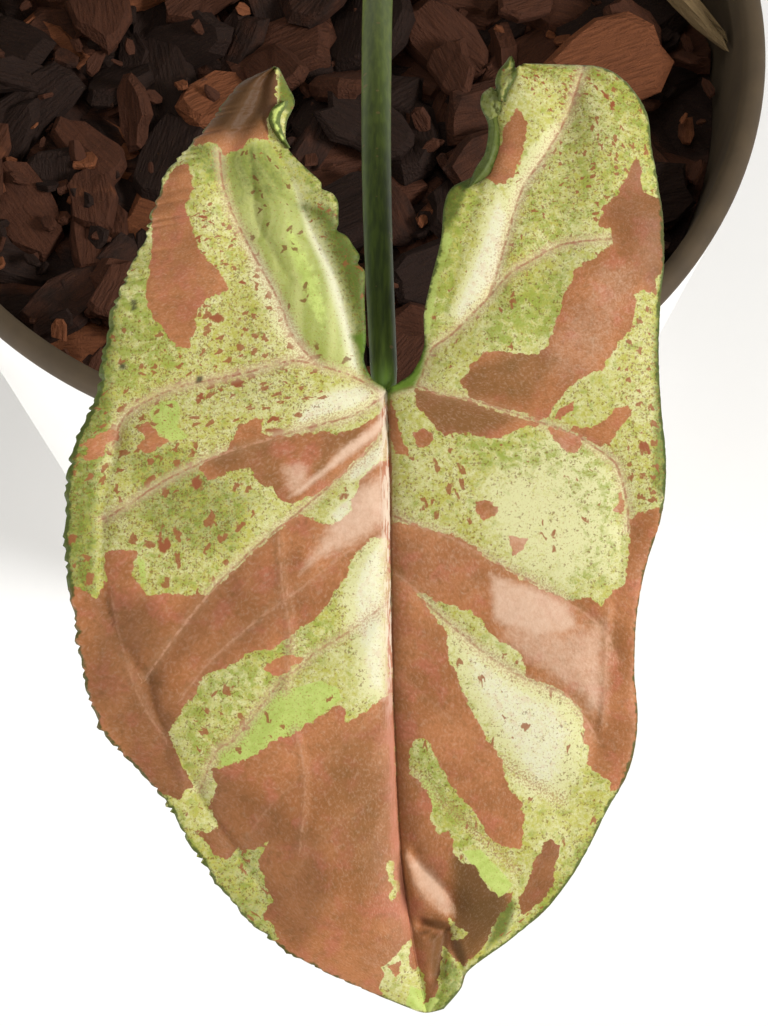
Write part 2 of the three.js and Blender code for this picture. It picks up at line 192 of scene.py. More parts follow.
class Paint:
    def __init__(self, name):
        self.material = bpy.data.materials.new(name)
        self.material.use_nodes = True
        self.tree = self.material.node_tree
        self.shader = self.tree.nodes["Principled BSDF"]

    def feed(self, socket, value):
        if isinstance(value, bpy.types.NodeSocket):
            self.tree.links.new(value, socket)
        else:
            socket.default_value = value

    def node(self, kind, inputs=(), **settings):
        node = self.tree.nodes.new(kind)
        for key, value in settings.items():
            setattr(node, key, value)
        for key, value in dict(inputs).items():
            self.feed(node.inputs[key], value)
        return node

    def value(self, name, output="Fac"):
        return self.node("ShaderNodeAttribute", attribute_name=name).outputs[output]

    def object_place(self):
        return self.node("ShaderNodeTexCoord").outputs["Object"]

    def math(self, operation, a, b=0.0):
        return self.node("ShaderNodeMath", {0: a, 1: b}, operation=operation).outputs[0]

    def times(self, value, *factors):
        for factor in factors:
            value = self.math("MULTIPLY", value, factor)
        return value

    def sum(self, *parts):
        total = None
        for value, weight in parts:
            part = self.times(value, weight)
            total = part if total is None else self.math("ADD", total, part)
        return total

    def step(self, value, low, high):
        inputs = {"Value": value, "From Min": low, "From Max": high}
        return self.node("ShaderNodeMapRange", inputs, interpolation_type="SMOOTHSTEP").outputs[0]

    def mix(self, share, a, b):
        # Sockets 6 and 7 are the two colours of a Mix node, and output 2 is the mixed one
        return self.node("ShaderNodeMix", {0: share, 6: a, 7: b}, data_type="RGBA").outputs[2]

    def lay(self, base, colour, *shares):
        return self.mix(self.times(*shares), base, colour)

    def noise(self, coordinates, scale, detail=2.0, output=0):
        inputs = {"Vector": coordinates, "Scale": scale, "Detail": detail}
        return self.node("ShaderNodeTexNoise", inputs).outputs[output]

    def vector(self, operation, a, b):
        return self.node("ShaderNodeVectorMath", {0: a, 1: b}, operation=operation).outputs[0]

    def shift(self, coordinates, scale, reach):
        wander = self.noise(coordinates, scale, 2.0, 1)
        centred = self.vector("SUBTRACT", wander, (0.5, 0.5, 0.5))
        scaled = self.node("ShaderNodeVectorMath", {0: centred, "Scale": reach}, operation="SCALE")
        return self.vector("ADD", coordinates, scaled.outputs[0])

    def stretch(self, coordinates, factors):
        return self.vector("MULTIPLY", coordinates, factors)

    def specks(self, coordinates, per_mm, largest, share, softness=0.05):
        inputs = {"Vector": coordinates, "Scale": per_mm}
        cells = self.node("ShaderNodeTexVoronoi", inputs, voronoi_dimensions="2D")
        chance = self.node("ShaderNodeSeparateColor", {0: cells.outputs["Color"]}).outputs[0]
        rank = self.math("ADD", chance, self.math("SUBTRACT", share, 1.0))
        radius = self.times(self.step(rank, -0.001, 0.3), largest)
        return self.step(self.math("SUBTRACT", radius, cells.outputs["Distance"]), 0.0, softness)

    def bump(self, height, distance, strength=1.0):
        inputs = {"Height": height, "Distance": distance, "Strength": strength}
        self.feed(self.shader.inputs["Normal"], self.node("ShaderNodeBump", inputs).outputs[0])

    def finish(self, colour, roughness, specular=0.5):
        self.feed(self.shader.inputs["Base Color"], colour)
        self.feed(self.shader.inputs["Roughness"], roughness)
        self.shader.inputs["Specular IOR Level"].default_value = specular
        return self.material


print("middle grey on screen is", round(srgb(128, 128, 128)[0], 3), "as linear light")

# %% [markdown]
# ## The camera
#
# The photo looks down at 65 degrees, square on to the front blade. That angle comes from the
# pot's rim, which shows as an ellipse. The lens is long, so near and far parts keep one scale.
# The camera is placed by the point that it looks at, because that point stays in the middle of
# the picture while the angle and the distance are tried out.

# %% Camera
SIGHT_FALL = math.radians(65)
SIGHT_DISTANCE = 350.0
VIEW_CENTRE = np.array([9.1, -106.8, POT_TOP + 78.2])
PIXELS_PER_RADIAN = 3500.0
FRAME_HEIGHT_PIXELS = 1026
SENSOR_HEIGHT = 36.0
NEAREST_METRES = 0.01
sight = np.array([0, math.cos(SIGHT_FALL), -math.sin(SIGHT_FALL)])
camera_data = bpy.data.cameras.new("camera")
camera_data.sensor_fit = "VERTICAL"
camera_data.sensor_height = SENSOR_HEIGHT
camera_data.lens = PIXELS_PER_RADIAN / FRAME_HEIGHT_PIXELS * SENSOR_HEIGHT
camera_data.clip_start = NEAREST_METRES
camera = bpy.data.objects.new("camera", camera_data)
camera.location = (VIEW_CENTRE - sight * SIGHT_DISTANCE) * MM
camera.rotation_euler = (math.pi / 2 - SIGHT_FALL, 0, 0)
bpy.context.collection.objects.link(camera)
bpy.context.scene.camera = camera
print("lens in mm:", round(camera_data.lens, 1))

# %% [markdown]
# ## The lights
#
# The photo looks as if it was taken by a window. One soft light, to the right and above, models
# the form of the blade. Three others lift its shade, from the left, from low beside the pot and
# from overhead, and a pale surround fills the rest. A wide disc casts the softest shadow.

# %% Lights and surround
LEAF_MIDDLE = tuple(VIEW_CENTRE * MM)
# Name, place and target in metres, width in metres, power in watts
SOFT_LIGHTS = [
    ("window", (0.86, -0.38, 0.72), LEAF_MIDDLE, 0.34, 10.6),
    ("fill", (-0.5, -0.7, 1.1), LEAF_MIDDLE, 0.9, 0.8),
    ("low fill", (-0.6, -0.35, 0.07), (-0.03, -0.03, 0.05), 0.3, 3.2),
    ("overhead", (-0.35, 0.0, 1.5), (0, 0, 0), 1.0, 4.2),
]
SURROUND_COLOUR = (1.0, 0.985, 0.96, 1.0)
SURROUND_STRENGTH = 0.3
for name, place, target, width, watts in SOFT_LIGHTS:
    data = bpy.data.lights.new(name, "AREA")
    data.shape = "DISK"
    data.size = width
    data.energy = watts
    light = bpy.data.objects.new(name, data)
    light.location = place
    aim = np.array(target) - np.array(place)
    light.rotation_euler = Vector(aim).to_track_quat("-Z", "Y").to_euler()
    light.visible_camera = False
    bpy.context.collection.objects.link(light)
world = bpy.data.worlds.new("surround")
world.use_nodes = True
world.node_tree.nodes["Background"].inputs["Color"].default_value = SURROUND_COLOUR
world.node_tree.nodes["Background"].inputs["Strength"].default_value = SURROUND_STRENGTH
bpy.context.scene.world = world
bpy.context.scene.view_settings.view_transform = "Standard"
print(len(SOFT_LIGHTS), "soft lights")

# %% [markdown]
# ## The floor
#
# The photo shows the ground beside the pot only as a plain, almost white area. One large plane
# with a faint cloud in its tone is enough. It is part of the stage, not of the plant.

# %% Floor
FLOOR_WIDTH = 6
FLOOR_DARK = srgb(246, 245, 243)
FLOOR_LIGHT = srgb(250, 249, 248)
bpy.ops.mesh.primitive_plane_add(size=FLOOR_WIDTH, location=(0, 0, 0))
floor = bpy.context.object
floor.name = "floor"
floor_paint = Paint("floor_paint")
floor_cloud = floor_paint.noise(floor_paint.object_place(), 6.0)
floor_tone = floor_paint.mix(floor_cloud, FLOOR_DARK, FLOOR_LIGHT)
floor.data.materials.append(floor_paint.finish(floor_tone, 0.8, 0.1))
print("floor width in metres:", FLOOR_WIDTH)

# %% [markdown]
# ## The outline of a blade
#
# An arrow-shaped blade is hard to mesh as one outline, but easy as ribs. Each rib crosses one
# half of the blade from its inner edge to its margin. In the lobes the inner edge is the notch,
# and below the joint it is the midrib. Points between the ribs come from two curves, one through
# the ribs' inner ends and one through their outer ends. The numbers are millimetres from the
# joint, with +Y towards the lobes, and they are the same as in the measured model.

# %% Ribs
# Inner end, outer end
LEFT_LOBE_RIBS = [
    (-10.9, 32.3, -11.6, 32.6),
    (-10.2, 30.8, -14.6, 31.1),
    (-9.4, 28.9, -16.9, 28.3),
    (-10.2, 26.8, -18.7, 25.8),
    (-10.2, 24.6, -21.0, 23.2),
    (-9.2, 23.1, -22.7, 20.8),
    (-6.8, 20.8, -23.4, 18.2),
    (-5.1, 18.9, -24.0, 15.9),
    (-4.9, 16.6, -25.1, 13.6),
    (-3.8, 14.8, -26.2, 11.2),
    (-2.4, 12.3, -27.3, 8.6),
    (-2.35, 8.8, -28.1, 5.8),
    (-2.2, 5.0, -28.6, 2.8),
    (-2.4, 2.8, -29.2, -0.6),
    (-1.5, 0.9, -30.9, -4.3),
]
RIGHT_LOBE_RIBS = [
    (12.9, 32.4, 13.9, 32.9),
    (11.5, 31.2, 17.2, 33.0),
    (10.5, 29.8, 21.1, 32.8),
    (9.6, 28.2, 23.9, 31.2),
    (10.1, 26.3, 26.0, 28.1),
    (9.7, 23.6, 26.5, 23.9),
    (8.6, 21.4, 27.0, 21.2),
    (6.4, 20.1, 27.4, 18.6),
    (5.6, 18.2, 27.6, 16.0),
    (5.3, 14.9, 27.7, 12.8),
    (4.3, 10.8, 27.3, 8.9),
    (3.6, 7.4, 27.15, 5.0),
    (3.6, 4.2, 27.2, 1.2),
    (2.5, 1.7, 27.4, -2.6),
    (1.1, 0.6, 27.8, -6.2),
]
# Midrib, left margin, right margin
BODY_RIBS = [
    (0.05, -0.4, -31.9, -7.6, 27.8, -9.5),
    (0.1, -4.0, -32.3, -12.0, 27.2, -13.4),
    (0.15, -8.8, -32.2, -17.2, 25.9, -17.6),
    (0.2, -14.2, -31.4, -23.1, 24.9, -22.6),
    (0.3, -20.0, -30.5, -28.6, 24.7, -28.2),
    (0.45, -25.8, -28.7, -34.1, 25.0, -33.4),
    (0.6, -31.5, -25.2, -38.0, 24.1, -38.2),
    (0.8, -37.2, -22.1, -41.6, 21.9, -42.4),
    (1.05, -42.8, -19.2, -46.6, 19.3, -47.4),
    (1.5, -48.3, -15.3, -51.9, 16.1, -51.9),
    (2.05, -52.8, -10.7, -56.0, 12.7, -54.9),
    (2.65, -56.8, -5.9, -58.6, 8.3, -58.2),
    (3.3, -60.2, -1.0, -60.8, 7.3, -60.2),
    (3.9, -62.6, 2.8, -62.4, 5.6, -62.2),
]
JOINT_RIB = len(LEFT_LOBE_RIBS)
RIB_GAPS = JOINT_RIB + len(BODY_RIBS) - 1
LEFT, RIGHT = -1, 1


def half_ribs(side):
    lobe = LEFT_LOBE_RIBS if side == LEFT else RIGHT_LOBE_RIBS
    margin = slice(2, 4) if side == LEFT else slice(4, 6)
    return np.array(list(lobe) + [rib[:2] + rib[margin] for rib in BODY_RIBS])


print(len(half_ribs(LEFT)), "ribs in each half,", JOINT_RIB, "of them in the lobe")

# %% [markdown]
# ## From photo pixels to millimetres
#
# What is finer than the ribs was read off the photo in pixels, because that is how the eye follows
# it. One function turns pixels into leaf millimetres. The joint is at pixel 388, 388, and ten
# pixels are one millimetre there. Pixels count downwards, so Y changes its sign.

# %% Photo pixels
PHOTO_JOINT = np.array([388.0, 388.0])
PIXELS_PER_MM = 10.0


def leaf_mm(pixels):
    offset = (np.array(pixels, float) - PHOTO_JOINT) / PIXELS_PER_MM
    return offset * (1, -1)


print("pixel 488, 288 is at", leaf_mm((488, 288)), "mm from the joint")

# %% [markdown]
# ## The grid of one half
#
# The left margin of the blade is finely toothed and the right one almost smooth. The teeth are
# small arches of slightly uneven width, so they are a formula along the margin, not typed points.
# The inner edge of the left lobe has three small bites, and each one is a bell that sets it back.

# %% Grid of one half
TOOTH_WIDTH = 1.45
TOOTH_DEPTH = 0.34
SMOOTH_MARGIN_SHARE = 0.12
# Bites in photo pixels, their size in millimetres
NOTCH_BITES = [(327, 187), (342, 229), (364, 262)]
BITE_DEPTH = 0.55
BITE_WIDTH = 0.5


def margin_reach(outer, rib, toothed):
    run = np.concatenate([[0], np.cumsum(np.linalg.norm(np.diff(outer, axis=0), axis=1))])
    uneven = run + 0.5 * np.sin(0.9 * run) + 0.35 * np.sin(2.3 * run + 1)
    away_from_tips = smooth_step(0, 2, rib) * smooth_step(0, 3, RIB_GAPS - rib)
    teeth = np.abs(np.sin(math.pi * uneven / TOOTH_WIDTH)) - 0.5
    uneven_depth = TOOTH_DEPTH * (1 + 0.4 * np.sin(0.7 * run) + 0.3 * np.sin(1.9 * run))
    share = 1.0 if toothed else SMOOTH_MARGIN_SHARE
    return (uneven_depth * teeth + 0.08 * np.sin(1.3 * run)) * share * away_from_tips


def half_grid(side, rows_per_rib, columns, toothed):
    shares = np.linspace(0, 1, RIB_GAPS * rows_per_rib + 1)
    rib = shares * RIB_GAPS
    ribs = half_ribs(side)
    inner = spline(ribs[:, :2], shares)
    outer = spline(ribs[:, 2:], shares)
    out = outer - inner
    out /= np.linalg.norm(out, axis=1)[:, None]
    if toothed:
        for bite in leaf_mm(NOTCH_BITES):
            from_bite = np.linalg.norm(inner - bite, axis=1)
            inner = inner + out * (BITE_DEPTH * bell(from_bite, BITE_WIDTH))[:, None]
    outer = outer + out * margin_reach(outer, rib, toothed)[:, None]
    across = np.linspace(0, 1, columns + 1)
    flat = inner[:, None] + (outer - inner)[:, None] * across[None, :, None]
    return flat, np.broadcast_to(rib[:, None], flat.shape[:2]), np.broadcast_to(across, flat.shape[:2])


print("teeth are", TOOTH_WIDTH, "mm wide and about", TOOTH_DEPTH, "mm deep")

# %% [markdown]
# ## Veins and folds
#
# A vein is a shallow groove, and the blade swells up between the veins. A pleat is a vein with
# a negative depth, so it stands up as a thin crease. A fold is a wider trough without a colour
# of its own. Each is a line through a few photo pixels, made smooth by the curve helper.

# %% Vein lines
MIDRIB = leaf_mm([(388, 391), (390, 470), (391, 560), (393, 700), (400, 850), (408, 910), (425, 1000)])
# Name, depth and reach of the groove in millimetres, strength of its colour, line in photo pixels
VEINS = [
    ("left lobe, middle", 0.6, 1.5, 1,
     [(315, 362), (293, 337), (281, 306), (268, 280), (243, 235), (224, 190), (219, 150)]),
    ("left lobe, foot", 0.35, 1.0, 1,
     [(384, 393), (348, 374), (300, 361), (273, 365), (237, 375), (178, 387), (138, 406), (121, 421),
      (112, 445)]),
    ("left 1", 0.22, 0.8, 1,
     [(384, 396), (365, 409), (345, 418), (300, 430), (225, 453), (168, 479), (126, 506), (103, 519)]),
    ("left 2", 0.4, 1.2, 1,
     [(386, 421), (374, 443), (356, 462), (330, 485), (300, 511), (265, 539), (233, 568), (208, 595),
      (184, 625), (165, 650), (146, 677)]),
    ("left 3", 0.18, 0.8, 0.6,
     [(390, 520), (350, 550), (300, 589), (280, 603), (256, 621), (212, 659), (180, 700)]),
    ("left 4", 0.24, 0.8, 0.8,
     [(391, 600), (348, 632), (318, 650), (299, 667), (280, 682), (260, 707), (234, 740), (216, 751),
      (200, 790)]),
    ("left 5", 0.1, 0.7, 0.25, [(394, 700), (355, 735), (318, 765), (275, 800), (245, 840)]),
    ("left 6", 0.08, 0.7, 0.15, [(396, 780), (350, 815), (318, 840), (290, 880)]),
    ("right lobe, foot", 0.5, 1.3, 1,
     [(400, 388), (418, 383), (431, 350), (452, 334), (483, 303), (509, 274), (532, 260), (563, 244),
      (611, 239)]),
    ("right lobe, middle", 0.7, 1.7, 1,
     [(490, 293), (499, 265), (506, 240), (522, 189), (538, 165), (555, 138), (570, 110), (578, 86),
      (586, 62)]),
    ("right 1", 0.3, 1.0, 1,
     [(392, 392), (415, 385), (438, 394), (471, 400), (521, 416), (571, 434), (610, 458), (619, 472),
      (627, 502), (629, 529)]),
    ("right 2", 0.35, 1.1, 0.9,
     [(393, 515), (415, 525), (452, 538), (495, 562), (545, 589), (600, 625), (618, 660)]),
    ("right 3", 0.35, 1.0, 0.9,
     [(398, 575), (418, 592), (434, 610), (476, 646), (487, 655), (528, 680), (570, 697), (598, 740)]),
    ("right 4", 0.1, 0.8, 0.2, [(395, 668), (430, 700), (475, 740), (520, 775), (560, 800)]),
    ("right 5", 0.1, 0.8, 0.2, [(398, 760), (435, 795), (483, 836), (515, 868)]),
    ("left pleat", -0.4, 0.45, 0.7,
     [(279, 535), (281, 560), (283, 590), (289, 620), (291, 650), (286, 690)]),
    ("left low pleat", -0.3, 0.45, 0.5, [(296, 730), (303, 760), (305, 800), (300, 850)]),
    ("right pleat", -0.3, 0.4, 0.8, [(609, 610), (607, 640), (605, 690), (602, 725)]),
    ("left margin pleat", -0.25, 0.5, 0.4, [(112, 600), (120, 640), (140, 700), (165, 740)]),
]
# Name, depth and reach in millimetres, line in photo pixels
FOLDS = [
    ("left lobe, beside the notch", 1.35, 2.0,
     [(264, 118), (270, 139), (282, 160), (291, 181), (313, 236), (336, 280), (348, 329), (357, 366),
      (364, 380)]),
    ("left lobe, between", 0.6, 1.1, [(249, 150), (254, 190), (256, 217), (272, 252), (290, 280)]),
    ("left, along the margin", 1.0, 1.9,
     [(120, 431), (106, 482), (102, 507), (101, 555), (105, 600), (123, 648), (146, 680), (157, 719),
      (180, 759), (203, 803), (234, 849), (260, 887)]),
    ("right lobe, folded edge", 0.5, 0.5,
     [(494, 106), (498, 135), (497, 150), (492, 163), (489, 174), (474, 185)]),
    ("right lobe, crease", 0.25, 0.5, [(480, 184), (468, 225), (455, 270), (443, 315)]),
    ("right, along the margin", 0.22, 1.1,
     [(629, 529), (615, 600), (607, 675), (595, 721), (590, 790), (560, 850)]),
]


def smooth_line(pixels, pieces=3):
    points = leaf_mm(pixels)
    return spline(points, np.linspace(0, 1, (len(points) - 1) * pieces + 1))


def on_side(side, line):
    return (line[:, 0].mean() < 0) == (side == LEFT)


VEIN_LINES = [(*groove, smooth_line(pixels)) for _, *groove, pixels in VEINS]
FOLD_LINES = [(depth, reach, smooth_line(pixels)) for _, depth, reach, pixels in FOLDS]
print(len(VEIN_LINES), "side veins and", len(FOLD_LINES), "folds")

# %% [markdown]
# ## The form of a blade
#
# The height of the blade over its own plane is a sum of simple parts: a trough along the midrib,
# a trough in each lobe, margins that turn down, cushions between the veins, the grooves of the
# veins themselves, and a slight wave. Each part is one line, so each can be tuned on its own.

# %% Height of the upper face
NO_VEIN = 99.0
LOBE_BEND_START = 16
TIP_DISTANCE = 62


def plain_form(side, rib, across, y, look):
    body = 1.7 * (1 - (1 - across) ** 3) * (1 - 1.2 * across**2)
    trough = 0.7 * bell(across - 0.5, 0.15)
    turned_edges = 0.35 * np.exp(-across / 0.1) + 0.9 * np.exp((across - 1) / 0.1)
    lobe = 1.4 * np.sin(math.pi * across) * (1 - trough) - turned_edges
    in_body = smooth_step(JOINT_RIB - 5, JOINT_RIB + 1, rib)
    near_tip = smooth_step(RIB_GAPS - 5, RIB_GAPS, rib)
    crinkle = look["wave"] * across**5 * np.sin(2.4 * rib + 2 * side) * (1 - near_tip)
    lobe_bend = -0.012 * np.maximum(0, y - LOBE_BEND_START) ** 2
    tip_bend = -look["droop"] * (np.minimum(0, y) / TIP_DISTANCE) ** 2
    return (lobe + (body - lobe) * in_body) * (1 - 0.7 * near_tip) + crinkle + lobe_bend + tip_bend


def blade_height(side, rib, across, flat, edge, look):
    y = flat[:, 1]
    height = plain_form(side, rib, across, y, look)
    vein = {"vein": np.full(len(flat), NO_VEIN), "vein_side": np.full(len(flat), NO_VEIN)}
    vein["vein_strength"] = np.zeros(len(flat))
    for depth, reach, strength, line in VEIN_LINES:
        if on_side(side, line):
            away = signed_distance(flat, line)
            nearer = abs(away) < vein["vein"]
            vein["vein_side"][nearer] = away[nearer]
            vein["vein_strength"][nearer] = strength
            vein["vein"] = np.minimum(vein["vein"], abs(away))
            height -= depth * np.exp(-abs(away) / reach)
    for depth, reach, line in FOLD_LINES:
        if on_side(side, line):
            height -= depth * np.exp(-distance_to(flat, line) / reach)
    vein["midrib"] = signed_distance(flat, MIDRIB)
    height += 0.35 * (1 - bell(np.minimum(vein["vein"], abs(vein["midrib"])), 2.2))
    height -= 0.6 * np.exp(-abs(vein["midrib"]) / 0.9) * smooth_step(1, -2, y)
    height -= 0.3 * np.exp(-edge / 0.4)
    return height, vein


print("lobes bend down from", LOBE_BEND_START, "mm above the joint")

# %% [markdown]
# ## The crumpled tip
#
# The very tip of the front blade is crumpled. A sharp fold runs down into it and ends in a small
# notch of the right margin, with a crest on its left and a hollow under the crest. Three lines
# are enough for it, since each one lifts or lowers the blade by its distance.

# %% Crumpled tip
TIP_FOLD = leaf_mm([(411, 857), (425, 871), (439, 885), (449, 896), (454, 907), (454, 920), (450, 935),
                    (452, 950), (458, 962), (463, 975)])
TIP_CREST = leaf_mm([(406, 858), (412, 878), (420, 892), (431, 904), (446, 914)])
TIP_HOLLOW = leaf_mm([(422, 926), (434, 930), (445, 932), (442, 950), (438, 975)])


def tip_height(flat):
    height = -1.3 * np.exp(-distance_to(flat, TIP_FOLD) / 1.6)
    height += 1.0 * bell(distance_to(flat, TIP_CREST), 0.8)
    height -= 0.9 * bell(distance_to(flat, TIP_HOLLOW), 0.7)
    return height


print("depth of the fold in mm:", round(-tip_height(TIP_FOLD[3:4])[0], 2))

# %% [markdown]
# ## The patches of colour
#
# Each pink patch is an outline of a few points. Its depth, the distance of a mesh point inside
# or outside the outline, is smooth, so the shader can add a fine grain to it and cut it sharply.
# The outlines are laid down in order like paper cut-outs: pink, then lime on it, then pink again.

# %% Patches of the front blade
# Colour, place, outline in photo pixels
PATCHES = [
    ("pink", "left lobe",
     [(189, 163), (194, 189), (185, 207), (194, 230), (201, 254), (216, 266), (231, 289), (211, 298),
      (198, 310), (197, 330), (189, 339), (192, 350), (177, 346), (162, 328), (148, 307), (145, 293),
      (150, 270), (153, 240), (150, 215), (155, 195), (176, 165)]),
    ("pink", "left lobe tip",
     [(258, 60), (276, 58), (276, 104), (266, 120), (269, 140), (252, 137), (242, 147), (233, 150),
      (226, 156), (219, 148), (211, 142), (193, 145), (190, 138), (215, 90)]),
    ("pink", "right lobe sliver",
     [(518, 108), (524, 116), (527, 127), (524, 145), (521, 158), (516, 173), (506, 184), (495, 183),
      (483, 175), (493, 165), (493, 154), (501, 142), (504, 129), (511, 116)]),
    ("pink", "right band",
     [(636, 156), (641, 170), (642, 188), (650, 194), (670, 200), (672, 232), (664, 264), (652, 291),
      (641, 291), (635, 294), (633, 329), (617, 343), (603, 370), (582, 376), (567, 390), (559, 399),
      (547, 417), (538, 421), (521, 412), (491, 405), (468, 396), (465, 389), (458, 381), (469, 372),
      (468, 366), (478, 359), (483, 352), (496, 351), (510, 353), (528, 356), (541, 352), (550, 339),
      (559, 311), (573, 270), (594, 257), (613, 245), (610, 229), (597, 226), (603, 208), (617, 194),
      (629, 170)]),
    ("pink", "below the right foot vein",
     [(416, 387), (439, 394), (468, 400), (491, 409), (521, 418), (541, 424), (519, 428), (506, 435),
      (491, 439), (477, 435), (456, 433), (444, 436), (436, 430), (430, 421), (416, 406), (415, 396)]),
    ("pink", "round spot",
     [(414, 432), (422, 428), (430, 432), (432, 440), (425, 447), (416, 445), (412, 438)]),
    ("pink", "beside the midrib",
     [(390, 397), (396, 412), (400, 428), (403, 441), (410, 456), (394, 453), (389, 427)]),
    ("pink", "right fleck", [(552, 418), (558, 409), (573, 402), (571, 411), (562, 418), (550, 423)]),
    ("pink", "right bow",
     [(627, 405), (630, 414), (623, 424), (608, 443), (596, 446), (583, 437), (565, 428), (590, 427),
      (604, 420), (615, 409)]),
    ("pink", "right fringe", [(548, 426), (581, 437), (583, 445), (571, 456), (562, 449), (556, 441)]),
    ("pink", "spot over right vein 2",
     [(474, 501), (487, 500), (499, 506), (495, 516), (483, 522), (476, 512)]),
    ("pink", "chip over right vein 2", [(508, 536), (528, 538), (523, 548), (512, 555), (511, 546)]),
    ("pink", "right margin chip", [(621, 492), (626, 502), (623, 516), (613, 510)]),
    ("pink", "whole lower right",
     [(391, 521), (418, 525), (437, 531), (456, 535), (470, 544), (483, 554), (502, 566), (522, 579),
      (544, 590), (571, 601), (590, 596), (602, 605), (613, 590), (625, 585), (629, 548), (631, 518),
      (638, 512), (654, 508), (690, 500), (680, 700), (650, 900), (520, 1020), (420, 1060), (400, 860),
      (391, 640)]),
    ("pink", "left of the joint",
     [(198, 469), (209, 460), (227, 450), (240, 428), (256, 417), (264, 418), (262, 432), (273, 437),
      (300, 434), (330, 432), (339, 434), (359, 427), (372, 418), (387, 404), (388, 416), (378, 435),
      (365, 452), (345, 472), (330, 485), (318, 494), (300, 501), (286, 504), (278, 498), (273, 486),
      (262, 485), (256, 479), (249, 467), (233, 472), (217, 477), (208, 479)]),
    ("pink", "left flag",
     [(148, 421), (152, 426), (158, 434), (169, 441), (162, 445), (154, 452), (146, 453), (138, 447),
      (146, 437), (137, 429), (142, 425)]),
    ("pink", "left margin flag",
     [(120, 430), (119, 439), (106, 444), (103, 455), (91, 463), (83, 458), (87, 449), (79, 445),
      (91, 439), (98, 433)]),
    ("pink", "whole lower left",
     [(106, 551), (136, 550), (138, 555), (134, 563), (134, 576), (144, 589), (146, 594), (170, 594),
      (208, 594), (225, 579), (249, 555), (273, 535), (300, 512), (316, 521), (334, 524), (342, 519),
      (351, 510), (352, 498), (358, 484), (372, 468), (391, 455), (391, 700), (404, 880), (425, 1060),
      (330, 1040), (180, 920), (100, 790), (50, 700), (50, 592), (75, 584), (95, 598), (106, 580),
      (103, 562)]),
    ("lime", "left band",
     [(388, 537), (373, 537), (360, 548), (349, 561), (348, 571), (342, 584), (335, 591), (328, 603),
      (318, 616), (305, 625), (281, 642), (276, 648), (257, 650), (241, 659), (222, 669), (209, 673),
      (199, 682), (198, 694), (184, 707), (176, 722), (168, 732), (174, 747), (182, 766), (188, 778),
      (193, 787), (184, 791), (180, 801), (195, 830), (209, 833), (218, 826), (216, 818), (209, 807),
      (213, 797), (218, 787), (211, 770), (222, 766), (241, 761), (257, 753), (270, 743), (280, 736),
      (289, 736), (304, 726), (318, 717), (337, 703), (346, 709), (346, 722), (360, 714), (376, 703),
      (388, 695)]),
    ("lime", "lower left margin",
     [(180, 801), (150, 790), (170, 850), (215, 920), (258, 955), (279, 938), (273, 924), (264, 918),
      (266, 907), (273, 900), (266, 889), (264, 880), (258, 862), (269, 840), (253, 851), (237, 849),
      (222, 862), (210, 850), (195, 830)]),
    ("lime", "low beside the midrib",
     [(386, 862), (393, 862), (393, 876), (402, 890), (393, 902), (388, 896), (393, 886), (388, 880)]),
    ("lime", "apex, right",
     [(444, 948), (465, 970), (462, 990), (448, 1014), (428, 1024), (405, 1018), (400, 1006),
      (414, 1003), (428, 1004), (438, 990), (441, 970)]),
    ("lime", "apex",
     [(410, 942), (400, 949), (392, 957), (383, 967), (383, 979), (378, 984), (386, 1001), (398, 1010),
      (410, 1016), (426, 1006), (426, 988), (418, 966), (413, 972), (409, 962)]),
    ("lime", "right wedge",
     [(418, 592), (437, 601), (456, 606), (472, 613), (481, 619), (487, 632), (502, 642), (516, 648),
      (525, 664), (525, 677), (542, 682), (560, 689), (571, 699), (582, 711), (583, 730), (584, 742),
      (590, 746), (588, 764), (599, 775), (609, 779), (611, 791), (650, 780), (620, 850), (570, 920),
      (500, 975), (466, 985), (462, 969), (480, 953), (489, 936), (497, 918), (506, 907), (513, 896),
      (513, 887), (522, 850), (524, 824), (522, 801), (511, 791), (505, 775), (503, 760), (491, 746),
      (481, 728), (471, 709), (462, 691), (456, 671), (448, 658), (447, 632), (430, 610)]),
    ("lime", "right ribbon",
     [(415, 738), (410, 748), (410, 773), (420, 783), (428, 791), (433, 807), (429, 820), (438, 832),
      (448, 831), (454, 842), (452, 852), (462, 862), (477, 866), (483, 881), (499, 895), (513, 890),
      (524, 860), (522, 848), (503, 846), (491, 840), (481, 824), (473, 809), (458, 795), (448, 779),
      (440, 766), (434, 754), (428, 740)]),
    ("lime", "by the notch", [(448, 915), (458, 927), (468, 932), (463, 939), (452, 941), (451, 929)]),
    ("pink", "island in the left band",
     [(264, 667), (280, 655), (297, 655), (304, 659), (289, 669), (278, 678), (270, 673)]),
    ("pink", "lower right flag",
     [(550, 838), (560, 846), (556, 864), (554, 885), (540, 903), (522, 914), (518, 899), (528, 881),
      (534, 860), (544, 844)]),
    ("pink", "apex chip", [(389, 966), (400, 962), (400, 971), (396, 980)]),
]
print(len(PATCHES), "patches on the front blade")

# %% [markdown]
# ## The soft areas
#
# Within the patches the colour changes softly, so each area is an outline with a soft border. It
# names what grows stronger there. Bright is plain fresh lime, and on the left lobe it is also a painted
# highlight. Pale is cream, or pink washed out, and on the pink it is also a painted sheen and
# highlight. Olive darkens the pink, partly as painted shade, and painted shade darkens it in folds,
# hollows and parts that turn away. Green and moss darken the lime, green partly as painted shade on
# strips that turn away, and stripes are the streaks beside the notch. Flecks, rim, rolled and soil
# add brick flecks, a dark edge, deep green as painted shade on folded edges, and grey specks.

# %% Soft areas of the front blade
AREA_KINDS = ("bright", "pale_and_highlight", "olive_and_shade", "painted_shade", "stripes", "green", "moss", "flecks", "rim", "rolled",
              "soil")
